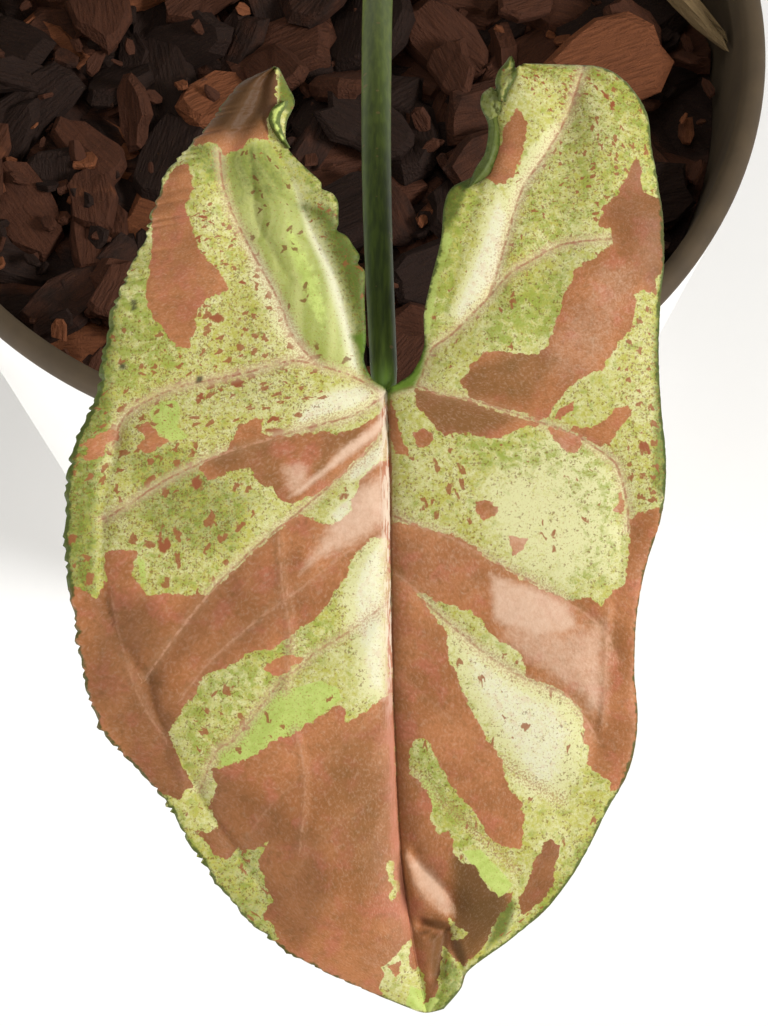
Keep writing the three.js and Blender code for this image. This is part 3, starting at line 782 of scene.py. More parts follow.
# Place, softness in millimetres, kinds with their strength, outline in photo pixels
AREAS = [
    ("left lower band", 0.25, {"bright": 1, "flecks": 0.6},
     [(216, 751), (234, 740), (260, 712), (280, 690), (300, 686), (320, 680), (338, 688), (342, 698),
      (318, 717), (289, 736), (280, 736), (257, 753), (241, 761), (222, 766)]),
    ("left island", 0.25, {"bright": 1},
     [(150, 412), (160, 401), (178, 401), (181, 413), (178, 426), (190, 438), (171, 441), (158, 431)]),
    ("right ribbon foot", 0.3, {"bright": 0.9},
     [(462, 850), (480, 848), (499, 868), (513, 885), (500, 897), (482, 878)]),
    ("band over the left margin chip", 0.3, {"bright": 0.7},
     [(136, 552), (146, 560), (148, 585), (140, 584)]),
    # Painted highlight on the slope left of the lobe fold
    ("left lobe, painted highlight streak", 1.2, {"bright": 0.62},
     [(285, 210), (300, 238), (318, 272), (330, 312), (322, 335), (300, 292), (284, 250)]),
    ("apex", 0.4, {"bright": 0.8}, [(410, 985), (440, 1000), (430, 1013), (405, 1008)]),
    ("right ribbon, upper", 0.5, {"bright": 0.6},
     [(420, 770), (436, 790), (440, 815), (430, 806), (418, 785)]),
    ("beside the midrib", 1.2, {"pale_and_highlight": 1},
     [(388, 530), (372, 545), (358, 565), (350, 590), (352, 620), (360, 650), (366, 690), (388, 700)]),
    ("left of the joint", 0.7, {"pale_and_highlight": 1},
     [(294, 424), (302, 410), (312, 400), (335, 388), (360, 383), (376, 392), (370, 402), (356, 409),
      (337, 414), (319, 420), (298, 427)]),
    # Painted highlight with cream along the left side of the lobe fold
    ("left of the lobe fold", 0.5, {"pale_and_highlight": 1},
     [(293, 178), (314, 228), (331, 258), (343, 292), (353, 330), (361, 374), (350, 366), (342, 330),
      (333, 298), (324, 268), (309, 236)]),
    ("right lobe", 0.7, {"pale_and_highlight": 1},
     [(498, 196), (509, 215), (504, 245), (498, 280), (482, 298), (460, 322), (452, 314), (464, 285),
      (479, 248), (489, 214)]),
    ("right lobe, upper", 0.6, {"pale_and_highlight": 0.6},
     [(556, 118), (560, 130), (540, 165), (524, 190), (514, 215), (505, 205), (516, 180), (530, 150)]),
    ("right of the joint, pale", 2.5, {"pale_and_highlight": 0.55, "flecks": 0.3},
     [(560, 440), (606, 470), (618, 520), (612, 570), (560, 580), (520, 560), (490, 530), (500, 480)]),
    ("right wedge", 2.0, {"pale_and_highlight": 0.95, "flecks": 0.5},
     [(455, 640), (480, 650), (520, 680), (560, 700), (578, 730), (560, 790), (530, 790), (500, 740),
      (470, 690)]),
    # Painted sheen: the pink washed out to pale pink on the right and on the left
    ("washed pink on the right", 0.8, {"pale_and_highlight": 0.75},
     [(490, 573), (492, 620), (536, 638), (579, 629), (567, 601), (530, 585)]),
    ("washed pink, lower", 1.5, {"pale_and_highlight": 0.55},
     [(500, 610), (560, 630), (606, 620), (606, 700), (596, 716), (570, 690), (530, 664), (500, 640)]),
    ("washed pink by the margin", 1.0, {"pale_and_highlight": 0.6}, [(578, 672), (604, 676), (602, 712), (586, 712)]),
    ("washed pink on the left", 1.2, {"pale_and_highlight": 0.75},
     [(345, 490), (386, 474), (388, 520), (370, 534), (356, 543), (323, 557), (300, 573), (319, 543),
      (330, 522)]),
    ("pale streak over left vein 2", 0.5, {"pale_and_highlight": 0.85},
     [(367, 430), (384, 415), (385, 427), (370, 441), (342, 462), (323, 476), (300, 494), (288, 497),
      (307, 480), (323, 469), (342, 448)]),
    ("pale spot by the streak", 0.7, {"pale_and_highlight": 0.6},
     [(280, 466), (300, 460), (310, 466), (306, 490), (290, 495)]),
    ("white under left vein 2", 0.5, {"pale_and_highlight": 1},
     [(386, 438), (361, 457), (351, 466), (347, 473), (349, 483), (361, 478), (379, 464), (386, 457)]),
    ("white chip under left vein 2", 0.4, {"pale_and_highlight": 1},
     [(330, 514), (340, 504), (352, 494), (352, 508), (342, 522), (332, 522)]),
    ("olive under left vein 1", 0.6, {"olive_and_shade": 0.75},
     [(323, 434), (347, 432), (367, 427), (360, 438), (347, 452), (333, 457), (319, 478), (310, 484),
      (321, 452)]),
    ("right of the midrib", 1.5, {"pale_and_highlight": 0.15},
     [(398, 520), (490, 550), (486, 600), (430, 600), (398, 580)]),
    ("right band, middle", 1.5, {"pale_and_highlight": 0.3},
     [(540, 350), (600, 262), (640, 265), (630, 300), (600, 370), (560, 385)]),
    ("left lobe patch", 1.5, {"painted_shade": 0.1},
     [(160, 200), (190, 190), (225, 285), (190, 335), (160, 310)]),
    ("along the left lobe vein", 0.6, {"pale_and_highlight": 0.7},
     [(246, 240), (262, 262), (285, 310), (306, 348), (322, 366), (296, 358), (270, 318), (252, 280)]),
    # Painted shade on the pink beside the left margin fold, where the blade turns away
    ("pink, left of the margin fold", 1.5, {"painted_shade": 0.42},
     [(90, 590), (135, 600), (170, 700), (220, 770), (320, 830), (330, 900), (300, 950), (180, 850),
      (90, 700)]),
    # Painted highlight on the crest of the tip
    ("tip, spindle", 0.9, {"pale_and_highlight": 0.75},
     [(406, 855), (420, 860), (437, 875), (449, 894), (454, 912), (444, 913), (430, 902), (416, 886)]),
    ("over left vein 3", 0.5, {"pale_and_highlight": 0.2},
     [(225, 640), (262, 612), (300, 585), (302, 592), (262, 622), (228, 650)]),
    ("under the right foot vein", 0.8, {"olive_and_shade": 0.9},
     [(414, 388), (470, 400), (520, 418), (480, 436), (440, 434), (414, 405)]),
    ("over the right foot vein", 1.0, {"olive_and_shade": 0.8},
     [(456, 375), (520, 350), (545, 345), (560, 360), (530, 400), (470, 398)]),
    # Painted shade on the left lobe tip, which bends away
    ("left lobe tip", 1.6, {"painted_shade": 1},
     [(258, 40), (290, 40), (282, 110), (262, 128), (236, 140), (200, 130), (180, 130), (225, 60)]),
    # Painted shade in the left margin fold and below it
    ("left margin, inside the fold", 1.8, {"painted_shade": 0.45},
     [(106, 600), (150, 600), (175, 640), (150, 680), (120, 650)]),
    ("left margin, below the fold", 1.0, {"painted_shade": 0.6},
     [(150, 690), (172, 730), (190, 780), (180, 800), (160, 760)]),
    # Painted shadow under the crest of the tip, in its hollow, in the lower fold and by the notch
    ("tip, under the crest", 0.3, {"painted_shade": 0.7},
     [(420, 917), (436, 919), (449, 921), (452, 932), (440, 932), (424, 926)]),
    ("tip, hollow", 0.2, {"painted_shade": 0.7}, [(419, 935), (424, 931), (432, 931), (428, 935)]),
    ("tip, lower fold", 0.6, {"painted_shade": 0.55, "olive_and_shade": 0.6},
     [(430, 934), (447, 930), (449, 955), (444, 980), (434, 990), (429, 960)]),
    ("tip, by the notch", 0.4, {"painted_shade": 0.8},
     [(450, 935), (462, 942), (468, 960), (463, 972), (454, 955)]),
    ("olive strip by the notch", 0.6, {"green": 0.9},
     [(505, 893), (517, 903), (506, 936), (486, 950), (495, 915)]),
    ("tip, lower left", 1.2, {"pale_and_highlight": 0.2},
     [(375, 935), (396, 945), (390, 975), (376, 985), (358, 960)]),
    # Painted shade in the valley right of the tip fold
    ("tip, right, painted shade", 1.0, {"painted_shade": 0.5}, [(456, 856), (500, 870), (506, 920), (470, 950), (456, 915)]),
    ("tip, right, olive and shade", 0.8, {"olive_and_shade": 1},
     [(452, 850), (505, 860), (512, 920), (480, 960), (455, 960), (452, 910)]),
    ("left of the midrib", 2.0, {"olive_and_shade": 0.5},
     [(330, 730), (386, 720), (388, 860), (360, 900), (320, 820)]),
    ("left flag", 0.8, {"olive_and_shade": 0.6}, [(198, 450), (270, 440), (290, 500), (240, 490)]),
    ("left lobe, striped part", 0.5, {"stripes": 1},
     [(225, 150), (233, 215), (250, 250), (268, 285), (285, 325), (305, 352), (330, 368), (358, 372),
      (348, 329), (336, 280), (313, 236), (290, 179), (268, 138)]),
    # Green and moss on the left margin, partly painted shade where it turns away
    ("left margin, upper", 0.9, {"moss": 0.9, "green": 0.55, "flecks": 0.7},
     [(100, 330), (122, 300), (116, 380), (112, 420), (100, 470), (97, 540), (96, 600), (50, 600),
      (50, 450)]),
    # Painted shade on the strip right of the lobe fold, which faces away from the light
    ("left lobe, right of the fold", 1.6, {"green": 1, "moss": 0.5, "rolled": 0.35, "flecks": 0.5},
     [(300, 205), (330, 205), (368, 258), (374, 380), (364, 376), (354, 320), (338, 268), (318, 222)]),
    ("right lobe, crest", 1.2, {"moss": 0.9, "green": 0.25},
     [(520, 55), (600, 60), (650, 90), (665, 200), (645, 190), (640, 140), (600, 80), (530, 75)]),
    ("right margin, upper", 0.6, {"moss": 1, "green": 0.65},
     [(668, 215), (657, 290), (652, 350), (654, 420), (652, 480), (658, 500), (690, 480), (690, 215)]),
    ("lower right margin", 1.0, {"moss": 1, "green": 0.35, "flecks": 0.7},
     [(640, 760), (610, 800), (560, 870), (515, 930), (500, 950), (500, 990), (600, 900), (650, 790)]),
    ("lower left margin", 0.8, {"moss": 1, "green": 0.4, "flecks": 0.5},
     [(165, 790), (200, 850), (226, 890), (258, 930), (290, 960), (250, 965), (180, 880)]),
    ("lower left chip", 1.2, {"green": 0.35, "moss": 0.5, "flecks": 0.5},
     [(195, 830), (265, 835), (285, 900), (290, 960), (250, 940), (215, 880)]),
    ("right lobe, bright inner edge", 0.3, {"bright": 0.6},
     [(420, 335), (430, 275), (439, 240), (446, 228), (455, 238), (446, 262), (438, 290), (430, 335)]),
    ("right lobe, dark inner corner", 0.5, {"green": 0.8, "moss": 0.5},
     [(446, 180), (462, 178), (468, 190), (458, 215), (446, 232), (438, 215)]),
    ("right band, top", 1.5, {"painted_shade": 0.4},
     [(600, 215), (636, 150), (680, 190), (680, 270), (655, 290), (620, 250)]),
    ("right band, outer edge", 1.2, {"olive_and_shade": 0.4},
     [(652, 180), (680, 180), (680, 300), (654, 300), (650, 240)]),
    ("lower right flag", 1.0, {"painted_shade": 0.42},
     [(545, 830), (565, 840), (560, 900), (520, 920), (512, 900)]),
    ("left strip", 2.0, {"painted_shade": 0.28}, [(180, 595), (300, 560), (300, 610), (220, 665), (170, 660)]),
    ("left lobe, outer part", 1.5, {"moss": 0.9},
     [(112, 300), (150, 260), (190, 350), (170, 380), (112, 400)]),
    ("middle of the left band", 1.5, {"moss": 0.7, "green": 0.4},
     [(120, 450), (170, 440), (260, 500), (230, 560), (150, 540)]),
    ("under the right lobe vein", 1.2, {"moss": 1},
     [(478, 338), (510, 290), (560, 272), (574, 296), (548, 336), (500, 352)]),
    ("right lobe, outer part", 1.5, {"moss": 0.5, "flecks": 0.65},
     [(500, 250), (524, 190), (560, 130), (590, 70), (640, 140), (630, 180), (600, 230), (540, 260),
      (505, 330)]),
    ("right lobe, left edge", 0.8, {"moss": 1},
     [(445, 190), (470, 180), (478, 200), (462, 240), (452, 300), (440, 340), (428, 340), (438, 280),
      (440, 220)]),
    ("right of the joint, low", 1.5, {"moss": 0.8},
     [(440, 430), (520, 436), (600, 440), (625, 520), (600, 585), (570, 590), (585, 520), (540, 470),
      (470, 470)]),
    ("lime over the left patch", 1.2, {"moss": 0.8}, [(185, 140), (224, 145), (224, 200), (196, 180)]),
    ("left band, lower part", 1.5, {"moss": 0.7, "flecks": 0.35},
     [(180, 720), (200, 670), (270, 645), (330, 600), (345, 640), (270, 690), (215, 760), (190, 780)]),
    ("left band, upper part", 1.5, {"moss": 0.4, "flecks": 0.3},
     [(120, 460), (210, 480), (260, 500), (220, 590), (140, 590)]),
    ("right ribbon", 0.8, {"moss": 0.8}, [(410, 745), (430, 745), (480, 830), (460, 850), (425, 800)]),
    ("left lobe, striped part, top", 1.5, {"green": 0.5},
     [(225, 150), (268, 138), (292, 182), (282, 205), (240, 200)]),
    ("left lobe, under its tip", 1.0, {"green": 0.6},
     [(193, 145), (222, 140), (228, 160), (226, 182), (205, 178), (196, 162)]),
    ("left lobe, top of the strip", 2.0, {"green": 0.45, "moss": 0.6},
     [(272, 130), (290, 130), (340, 198), (345, 230), (318, 225), (290, 170)]),
    ("left lobe tip, right corner", 0.4, {"green": 0.9},
     [(278, 55), (302, 99), (290, 112), (278, 104)]),
    ("apex, right", 0.6, {"green": 0.6, "moss": 1},
     [(444, 950), (463, 970), (458, 1000), (440, 1014), (428, 1010), (440, 985)]),
    ("right lobe, inner margin, edge", 1.0, {"rim": 0.15},
     [(478, 100), (505, 100), (500, 190), (470, 215), (460, 300), (440, 350), (410, 350), (420, 240),
      (440, 180)]),
    ("right margin, edge", 1.0, {"rim": 0.35},
     [(650, 180), (690, 180), (690, 520), (640, 520), (640, 300)]),
    ("right lobe, shoulder, edge", 1.0, {"rim": 0.3},
     [(600, 50), (680, 100), (690, 180), (640, 180), (610, 80)]),
    ("lower right margin, edge", 1.0, {"rim": 0.35},
     [(620, 740), (660, 740), (600, 920), (500, 1000), (440, 1030), (440, 980), (540, 900)]),
    ("lower left margin, edge", 1.0, {"rim": 0.3},
     [(60, 600), (110, 600), (160, 760), (260, 920), (300, 960), (250, 980), (100, 800), (50, 700)]),
    ("left margin, edge", 1.0, {"rim": 0.8},
     [(90, 300), (125, 300), (120, 420), (80, 600), (50, 600), (50, 420)]),
    # Painted shade: the folded edge and the lobule are laid deep green
    ("right lobe, folded edge", 0.15, {"rolled": 1},
     [(484, 108), (496, 116), (498, 135), (497, 150), (492, 163), (491, 172), (478, 181), (462, 192),
      (456, 176), (480, 150)]),
    ("right lobe, lobule", 0.2, {"rolled": 0.8},
     [(480, 84), (492, 92), (499, 104), (494, 113), (480, 116)]),
    ("speck on the left lobe", 0.12, {"soil": 0.9}, [(131, 299), (136, 300), (137, 309), (132, 311)]),
    ("speck by the left margin", 0.12, {"soil": 0.9}, [(119, 364), (127, 363), (127, 369), (121, 370)]),
    ("speck on the vein", 0.12, {"soil": 0.9}, [(197, 376), (203, 377), (203, 382), (197, 383)]),
    ("left half", 1.5, {"flecks": 1},
     [(105, 380), (150, 330), (250, 300), (330, 400), (340, 420), (260, 500), (200, 600), (130, 590),
      (95, 560)]),
    ("left lobe", 1.0, {"flecks": 1},
     [(190, 210), (230, 210), (270, 290), (330, 370), (200, 375), (190, 320)]),
    ("right lobe, crest, flecks", 1.0, {"flecks": 0.9},
     [(520, 60), (640, 70), (650, 170), (620, 200), (560, 100), (530, 110)]),
    ("right margin", 0.8, {"flecks": 1}, [(636, 290), (666, 280), (666, 500), (640, 500), (600, 440)]),
    ("left band, foot", 0.6, {"flecks": 1}, [(196, 712), (245, 712), (245, 755), (196, 760)]),
    ("right of the joint, flecks", 1.2, {"flecks": 0.5}, [(396, 430), (480, 430), (480, 530), (396, 520)]),
]
# The web between the two lobes, round the stalk's end
JOINT_WEB = [(350, 335), (358, 345), (362, 364), (366, 373), (375, 383), (386, 391), (388, 404),
             (392, 394), (400, 391), (415, 386), (422, 372), (428, 346), (424, 334), (400, 330), (370, 330)]
print(len(AREAS), "soft areas on the front blade")

# %% [markdown]
# ## Reading the outlines
#
# Two functions turn the outlines into values on the mesh. The patches give one signed depth, where
# pink adds to what lies below it and lime takes away from it. The areas give a share from 0 to 1
# for each kind, and where two areas of a kind meet, the stronger one counts.

# %% Depth of patches and share of areas
FAR_OUTSIDE = -9.0


def layered_depth(flat):
    depth = np.full(len(flat), FAR_OUTSIDE)
    for colour, _, pixels in PATCHES:
        own = depth_inside(flat, leaf_mm(pixels))
        depth = np.maximum(depth, own) if colour == "pink" else np.minimum(depth, -own)
    return depth


def area_share(flat, kind):
    shares = [np.zeros(len(flat))]
    for _, softness, strengths, pixels in AREAS:
        if kind in strengths:
            depth = depth_inside(flat, leaf_mm(pixels))
            shares.append(strengths[kind] * smooth_step(-softness, softness, depth))
    return np.max(shares, axis=0)


middle_of_patch = leaf_mm([(170, 290)])
print("depth in the left lobe's patch, in mm:", round(layered_depth(middle_of_patch)[0], 2))

# %% [markdown]
# ## Patches of the other blades
#
# The other blades aren't in the photo, so their patches follow a rule. Each patch is an ellipse
# drawn out along the nearest side vein, as on the front blade, with a seeded size and place.

# %% Patches of the other blades
# Kind of area, number of ellipses, their shortest and longest half length in millimetres, spread
OTHER_AREAS = {
    "bright": (4, (3, 8), -0.2),
    "pale_and_highlight": (5, (6, 12), 0.2),
    "olive_and_shade": (4, (6, 12), 0.0),
    "moss": (7, (6, 14), 0.2),
    "flecks": (5, (8, 16), 0.3),
}
OTHER_PINK_SIZES = (6, 20)
SEED_GAP = 50


def random_depth(flat, seed, count, sizes):
    random = np.random.default_rng(seed)
    depth = np.full(len(flat), FAR_OUTSIDE)
    for _ in range(count):
        side = random.choice([-1, 1])
        middle = np.array([side * random.uniform(1, 27), random.uniform(-54, 28)])
        steep = (25, 50) if middle[1] < 4 else (-75, -50)
        turn = math.radians(random.uniform(*steep))
        along = np.array([side * math.cos(turn), -math.sin(turn)])
        long = random.uniform(*sizes)
        short = long * random.uniform(0.25, 0.5)
        offset = flat - middle
        wobble = 0.25 * np.sin(offset @ (0.55 * along + 0.3) + seed)
        wobble = wobble + 0.2 * np.sin(flat[:, 1] * 0.9 + middle[0])
        radius = np.hypot(offset @ along / long, offset @ np.array([-along[1], along[0]]) / short)
        depth = np.maximum(depth, (1 - radius + 0.3 * wobble) * short)
    return depth


def patch_values(look, flat):
    if look["name"] == "front":
        shares = {kind: area_share(flat, kind) for kind in AREA_KINDS}
        web = depth_inside(flat, leaf_mm(JOINT_WEB))
        return {"pink": layered_depth(flat), "web": smooth_step(-0.35, 0.35, web), **shares}
    seed = look["seed"]
    shares = {}
    for turn, (kind, (count, sizes, spread)) in enumerate(OTHER_AREAS.items()):
        depth = random_depth(flat, seed + SEED_GAP * (turn + 1), count, sizes)
        shares[kind] = np.clip(depth / 2 + 0.5 + spread, 0, 1)
    web = smooth_step(1.8, 1.0, np.hypot(flat[:, 0], flat[:, 1]))
    pink = random_depth(flat, seed, look["patches"], OTHER_PINK_SIZES)
    absent = {kind: np.zeros(len(flat)) for kind in AREA_KINDS if kind not in shares}
    return {"pink": pink, "web": web, **absent, **shares}


print("kinds of area on the other blades:", ", ".join(OTHER_AREAS))

# %% [markdown]
# ## Building a blade
#
# A blade is made as two halves that meet in the crease of the midrib. Each half is two sheets, an
# upper and a lower one, joined all round. The lower sheet is the upper one moved down, by little at
# the margin and more under the midrib, where a keel carries the blade.

# %% Blade mesh
MARGIN_THICKNESS = 0.22
INNER_THICKENING = 0.4
KEEL_DEPTH = 0.9
# Flow coordinates run across a half and along it, so that texture follows the veins
HALF_WIDTH = 28
RIB_SPACING = 2.9
# Each blade reads the noise at another depth, so no two look the same
NOISE_DEPTH_STEP = 37.0


def grid_quads(rows, columns):
    index = np.arange(rows * columns).reshape(rows, columns)
    corners = [index[:-1, :-1], index[:-1, 1:], index[1:, 1:], index[1:, :-1]]
    return np.stack(corners, axis=-1).reshape(-1, 4)


def closed_faces(quads):
    size = quads.max() + 1
    starts = quads.ravel()
    ends = np.roll(quads, -1, axis=1).ravel()
    free = ~np.isin(starts * size + ends, ends * size + starts)
    starts, ends = starts[free], ends[free]
    walls = np.column_stack([starts, starts + size, ends + size, ends])
    return np.vstack([quads, quads[:, ::-1] + size, walls])


def build_half(look, side, rows_per_rib, columns):
    grid, rib, across = half_grid(side, rows_per_rib, columns, side == LEFT)
    joint_row = JOINT_RIB * rows_per_rib
    margin = np.vstack([grid[joint_row::-2, 0], grid[0, ::4], grid[::2, -1], grid[-1, ::-4]])
    quads = grid_quads(*rib.shape)
    flat, rib, across = grid.reshape(-1, 2), rib.ravel(), across.ravel()
    edge = distance_to(flat, margin)
    height, vein = blade_height(side, rib, across, flat, edge, look)
    if look["name"] == "front":
        height += tip_height(flat)
    upper = np.column_stack([flat, height])
    below_joint = smooth_step(0, -2.5, flat[:, 1])
    keel = KEEL_DEPTH * bell(vein["midrib"], 1.1) * smooth_step(-60, -5, flat[:, 1]) * below_joint
    thickness = MARGIN_THICKNESS + INNER_THICKENING * smooth_step(0, 2.5, edge) + keel
    lower = upper - np.outer(thickness, (0, 0, 1))
    noise_depth = np.full(len(flat), look["seed"] * NOISE_DEPTH_STEP)
    values = {
        "leaf_mm": np.column_stack([flat, noise_depth]),
        "flow_mm": np.column_stack([across * HALF_WIDTH * side, rib * RIB_SPACING, noise_depth]),
        "edge": edge,
        **vein,
        **patch_values(look, flat),
    }
    faces = closed_faces(quads if side == LEFT else quads[:, ::-1])
    return upper, lower, faces, {key: np.concatenate([data, data]) for key, data in values.items()}


print("faces of a closed sheet of one square:", len(closed_faces(grid_quads(2, 2))))

# %% [markdown]
# ## The colours of a blade
#
# The colours were judged against the photo, patch by patch. They are named here once, for
# what they are on the leaf, so that the shaders below read like a recipe.

# %% Colours of the blade
CREAM = srgb(216, 213, 156)
WHITISH = srgb(226, 223, 192)
LIME = srgb(182, 178, 82)
BRIGHT_LIME = srgb(174, 190, 92)
FRESH_LIME = srgb(192, 206, 112)
LEAF_GREEN = srgb(140, 152, 54)
MOSS = srgb(146, 160, 58)
SHADE_GREEN = srgb(92, 104, 32)
DARK_GREEN = srgb(58, 74, 22)
WEB_GREEN = srgb(92, 118, 32)
ROLLED_SHADE_GREEN = srgb(62, 80, 24)
STRIPE_DARK = srgb(150, 160, 76)
STRIPE_LIGHT = srgb(190, 194, 118)
STRIPE_SPOT = srgb(116, 70, 36)
BLUSH = srgb(206, 160, 134)
PINK = srgb(185, 121, 76)
PINK_DEEP = srgb(163, 104, 61)
PINK_PALE_AND_HIGHLIGHT = srgb(219, 184, 156)
ROSE = srgb(188, 110, 84)
OLIVE_TONE_AND_SHADE = srgb(122, 86, 44)
PAINTED_SHADE_BROWN = srgb(74, 52, 26)
BRICK = srgb(150, 86, 52)
DOT = srgb(110, 70, 32)
SOIL = srgb(70, 66, 44)
VEIN_HALO = srgb(222, 204, 164)
VEIN_ON_LIME = srgb(156, 90, 66)
VEIN_ON_PINK = srgb(202, 152, 120)
MIDRIB_PALE = srgb(228, 208, 184)
MIDRIB_ROSE = srgb(186, 120, 98)
MIDRIB_LOW = srgb(192, 124, 98)
MIDRIB_CREASE_SHADOW = srgb(122, 74, 48)
MIDRIB_SHADE = srgb(116, 78, 46)
UNDER_GREEN = (srgb(150, 158, 98), srgb(178, 178, 124))
UNDER_PINK = srgb(166, 122, 94)
UNDER_VEIN = srgb(190, 184, 134)
print("lime in linear light:", [round(channel, 3) for channel in LIME[:3]])

# %% [markdown]
# ## The lime ground
#
# From near by, the lime ground is not one colour. Cream and lime cells a third of a millimetre
# wide lie side by side, with green smudges and a moss that follows the veins. Each is a noise in
# leaf millimetres, cut by a soft step, and laid over the one before. The stored shares of pale,
# green and moss move the cut, so the same recipe makes white, lime and dark places. Some white
# places are painted highlight and some dark green ones are painted shade.

# %% Lime ground
GRAIN_PER_MM = 3.2


def ground_colour(paint, place, flow, cloud, mottle, fine):
    pale_and_highlight = paint.value("pale_and_highlight")
    green = paint.value("green")
    moss = paint.value("moss")
    grain = paint.noise(place, GRAIN_PER_MM, 5.0)
    cream = paint.step(paint.sum((cloud, 0.45), (mottle, 0.5), (grain, 0.75), (pale_and_highlight, 0.5)), 0.64, 1.1)
    ground = paint.mix(cream, LIME, CREAM)
    smudge = paint.noise(paint.shift(place, 0.5, 2.0), 1.0, 5.0)
    smudged = paint.step(paint.sum((smudge, 1.0), (moss, 0.16), (pale_and_highlight, -0.15)), 0.5, 0.76)
    ground = paint.lay(ground, LEAF_GREEN, smudged, 0.6)
    streaks = paint.noise(paint.shift(paint.stretch(flow, (0.5, 1.0, 1.0)), 2.0, 0.8), 2.6, 4.0)
    mossy = paint.sum((fine, 0.35), (grain, 0.5), (streaks, 0.4), (smudge, 0.3), (moss, 0.13), (pale_and_highlight, -0.08))
    ground = paint.lay(ground, MOSS, paint.step(mossy, 0.82, 1.0), 0.8)
    whitish = paint.step(paint.sum((pale_and_highlight, 1.0), (grain, 0.8)), 0.98, 1.5)
    ground = paint.lay(ground, WHITISH, whitish, 0.85)
    blush = paint.step(paint.sum((streaks, 0.7), (smudge, 0.5), (pale_and_highlight, 0.1)), 0.68, 0.86)
    ground = paint.lay(ground, BLUSH, blush, pale_and_highlight, 0.3)
    bands = paint.noise(paint.stretch(flow, (1.0, 0.05, 1.0)), 0.5, 2.0)
    striped = paint.mix(paint.step(bands, 0.35, 0.65), STRIPE_DARK, STRIPE_LIGHT)
    striped = paint.lay(striped, WHITISH, pale_and_highlight, 0.9)
    ground = paint.lay(ground, striped, paint.value("stripes"), 0.85)
    # The green share lays shade green, partly as painted shade on strips that turn away
    shaded = paint.step(paint.sum((green, 1.0), (mottle, 0.5), (grain, 0.6)), 0.65, 1.5)
    ground = paint.lay(ground, SHADE_GREEN, shaded, 0.95)
    bright = paint.step(paint.sum((paint.value("bright"), 1.0), (mottle, 0.6)), 0.62, 0.95)
    fresh = paint.step(paint.sum((mottle, 0.6), (cloud, 0.4)), 0.36, 0.62)
    return paint.mix(bright, ground, paint.mix(fresh, BRIGHT_LIME, FRESH_LIME)), bright


print("a grain of the ground in mm:", round(1 / GRAIN_PER_MM, 2))

# %% [markdown]
# ## Dots and flecks
#
# The ground is dusted with tiny dark dots and carries brick flecks in two sizes. The dots and the
# flecks are Voronoi cells: a chance value of the cell decides if it holds a speck and how large,
# and a noise bends the cells, so that the specks aren't round. They thin out on plain lime,
# and the stored share of flecks makes them denser.

# %% Dots and flecks
DUST_PER_MM = 2.9
SMALL_PER_MM = 1.25
LARGE_PER_MM = 0.5
FLECK_STRETCH = (0.62, 1.0, 1.0)


def add_flecks(paint, ground, place, flow, bright, vein):
    dense = paint.value("flecks")
    plain = paint.math("MAXIMUM", paint.times(bright, 0.8), paint.times(paint.value("stripes"), 0.7))
    plain = paint.math("MAXIMUM", plain, paint.times(paint.value("pale_and_highlight"), 0.5))
    calm = paint.math("SUBTRACT", 1.0, plain)
    crowd = paint.step(paint.noise(place, 0.4, 3.0), 0.32, 0.66)
    dust_share = paint.times(paint.sum((crowd, 0.4), (dense, 0.2), (calm, 0.25)), calm)
    dust = paint.specks(paint.shift(place, 3.6, 0.7), DUST_PER_MM, 0.46, dust_share, 0.3)
    ground = paint.lay(ground, DOT, dust, 0.62)
    by_vein = paint.step(vein, 1.4, 0.2)
    spot_place = paint.shift(flow, 0.8, 2.0)
    spots = paint.specks(spot_place, 0.62, 0.27, paint.times(paint.value("stripes"), 0.5), 0.1)
    ground = paint.lay(ground, STRIPE_SPOT, spots, 0.8)
    speckled = paint.sum((paint.noise(place, 5.0, 2.0), 1.0), (by_vein, 0.13), (dense, 0.05))
    ground = paint.lay(ground, BRICK, paint.step(speckled, 0.6, 0.7), 0.5)
    drawn = paint.stretch(paint.shift(flow, 1.3, 1.4), FLECK_STRETCH)
    small_share = paint.sum((crowd, 0.16), (dense, 0.34), (calm, 0.12))
    small = paint.specks(drawn, SMALL_PER_MM, 0.36, small_share, 0.14)
    ground = paint.lay(ground, BRICK, small, 0.85)
    wide = paint.stretch(paint.shift(flow, 1.0, 1.8), FLECK_STRETCH)
    large = paint.specks(wide, LARGE_PER_MM, 0.25, paint.sum((dense, 0.3), (calm, 0.05)), 0.1)
    return paint.lay(ground, BRICK, large, calm)


print("cells of dust, small and large flecks in mm:",
      [round(1 / scale, 1) for scale in (DUST_PER_MM, SMALL_PER_MM, LARGE_PER_MM)])

# %% [markdown]
# ## The pink of the patches
#
# The pink patches are smoother than the ground. Broad clouds of two pinks carry rosy places, a
# soft net of olive and fine pale hairs along the veins. Where the stored share of pale is high,
# the pink washes out, but unevenly, as the noise is added before the cut, and there the pale pink
# is also a painted sheen and highlight. The olive share darkens the pink, partly as painted shade,
# and the share of painted shade darkens it in folds, hollows and parts that turn away.

# %% Pink
HAIRS_PER_MM = 5.5


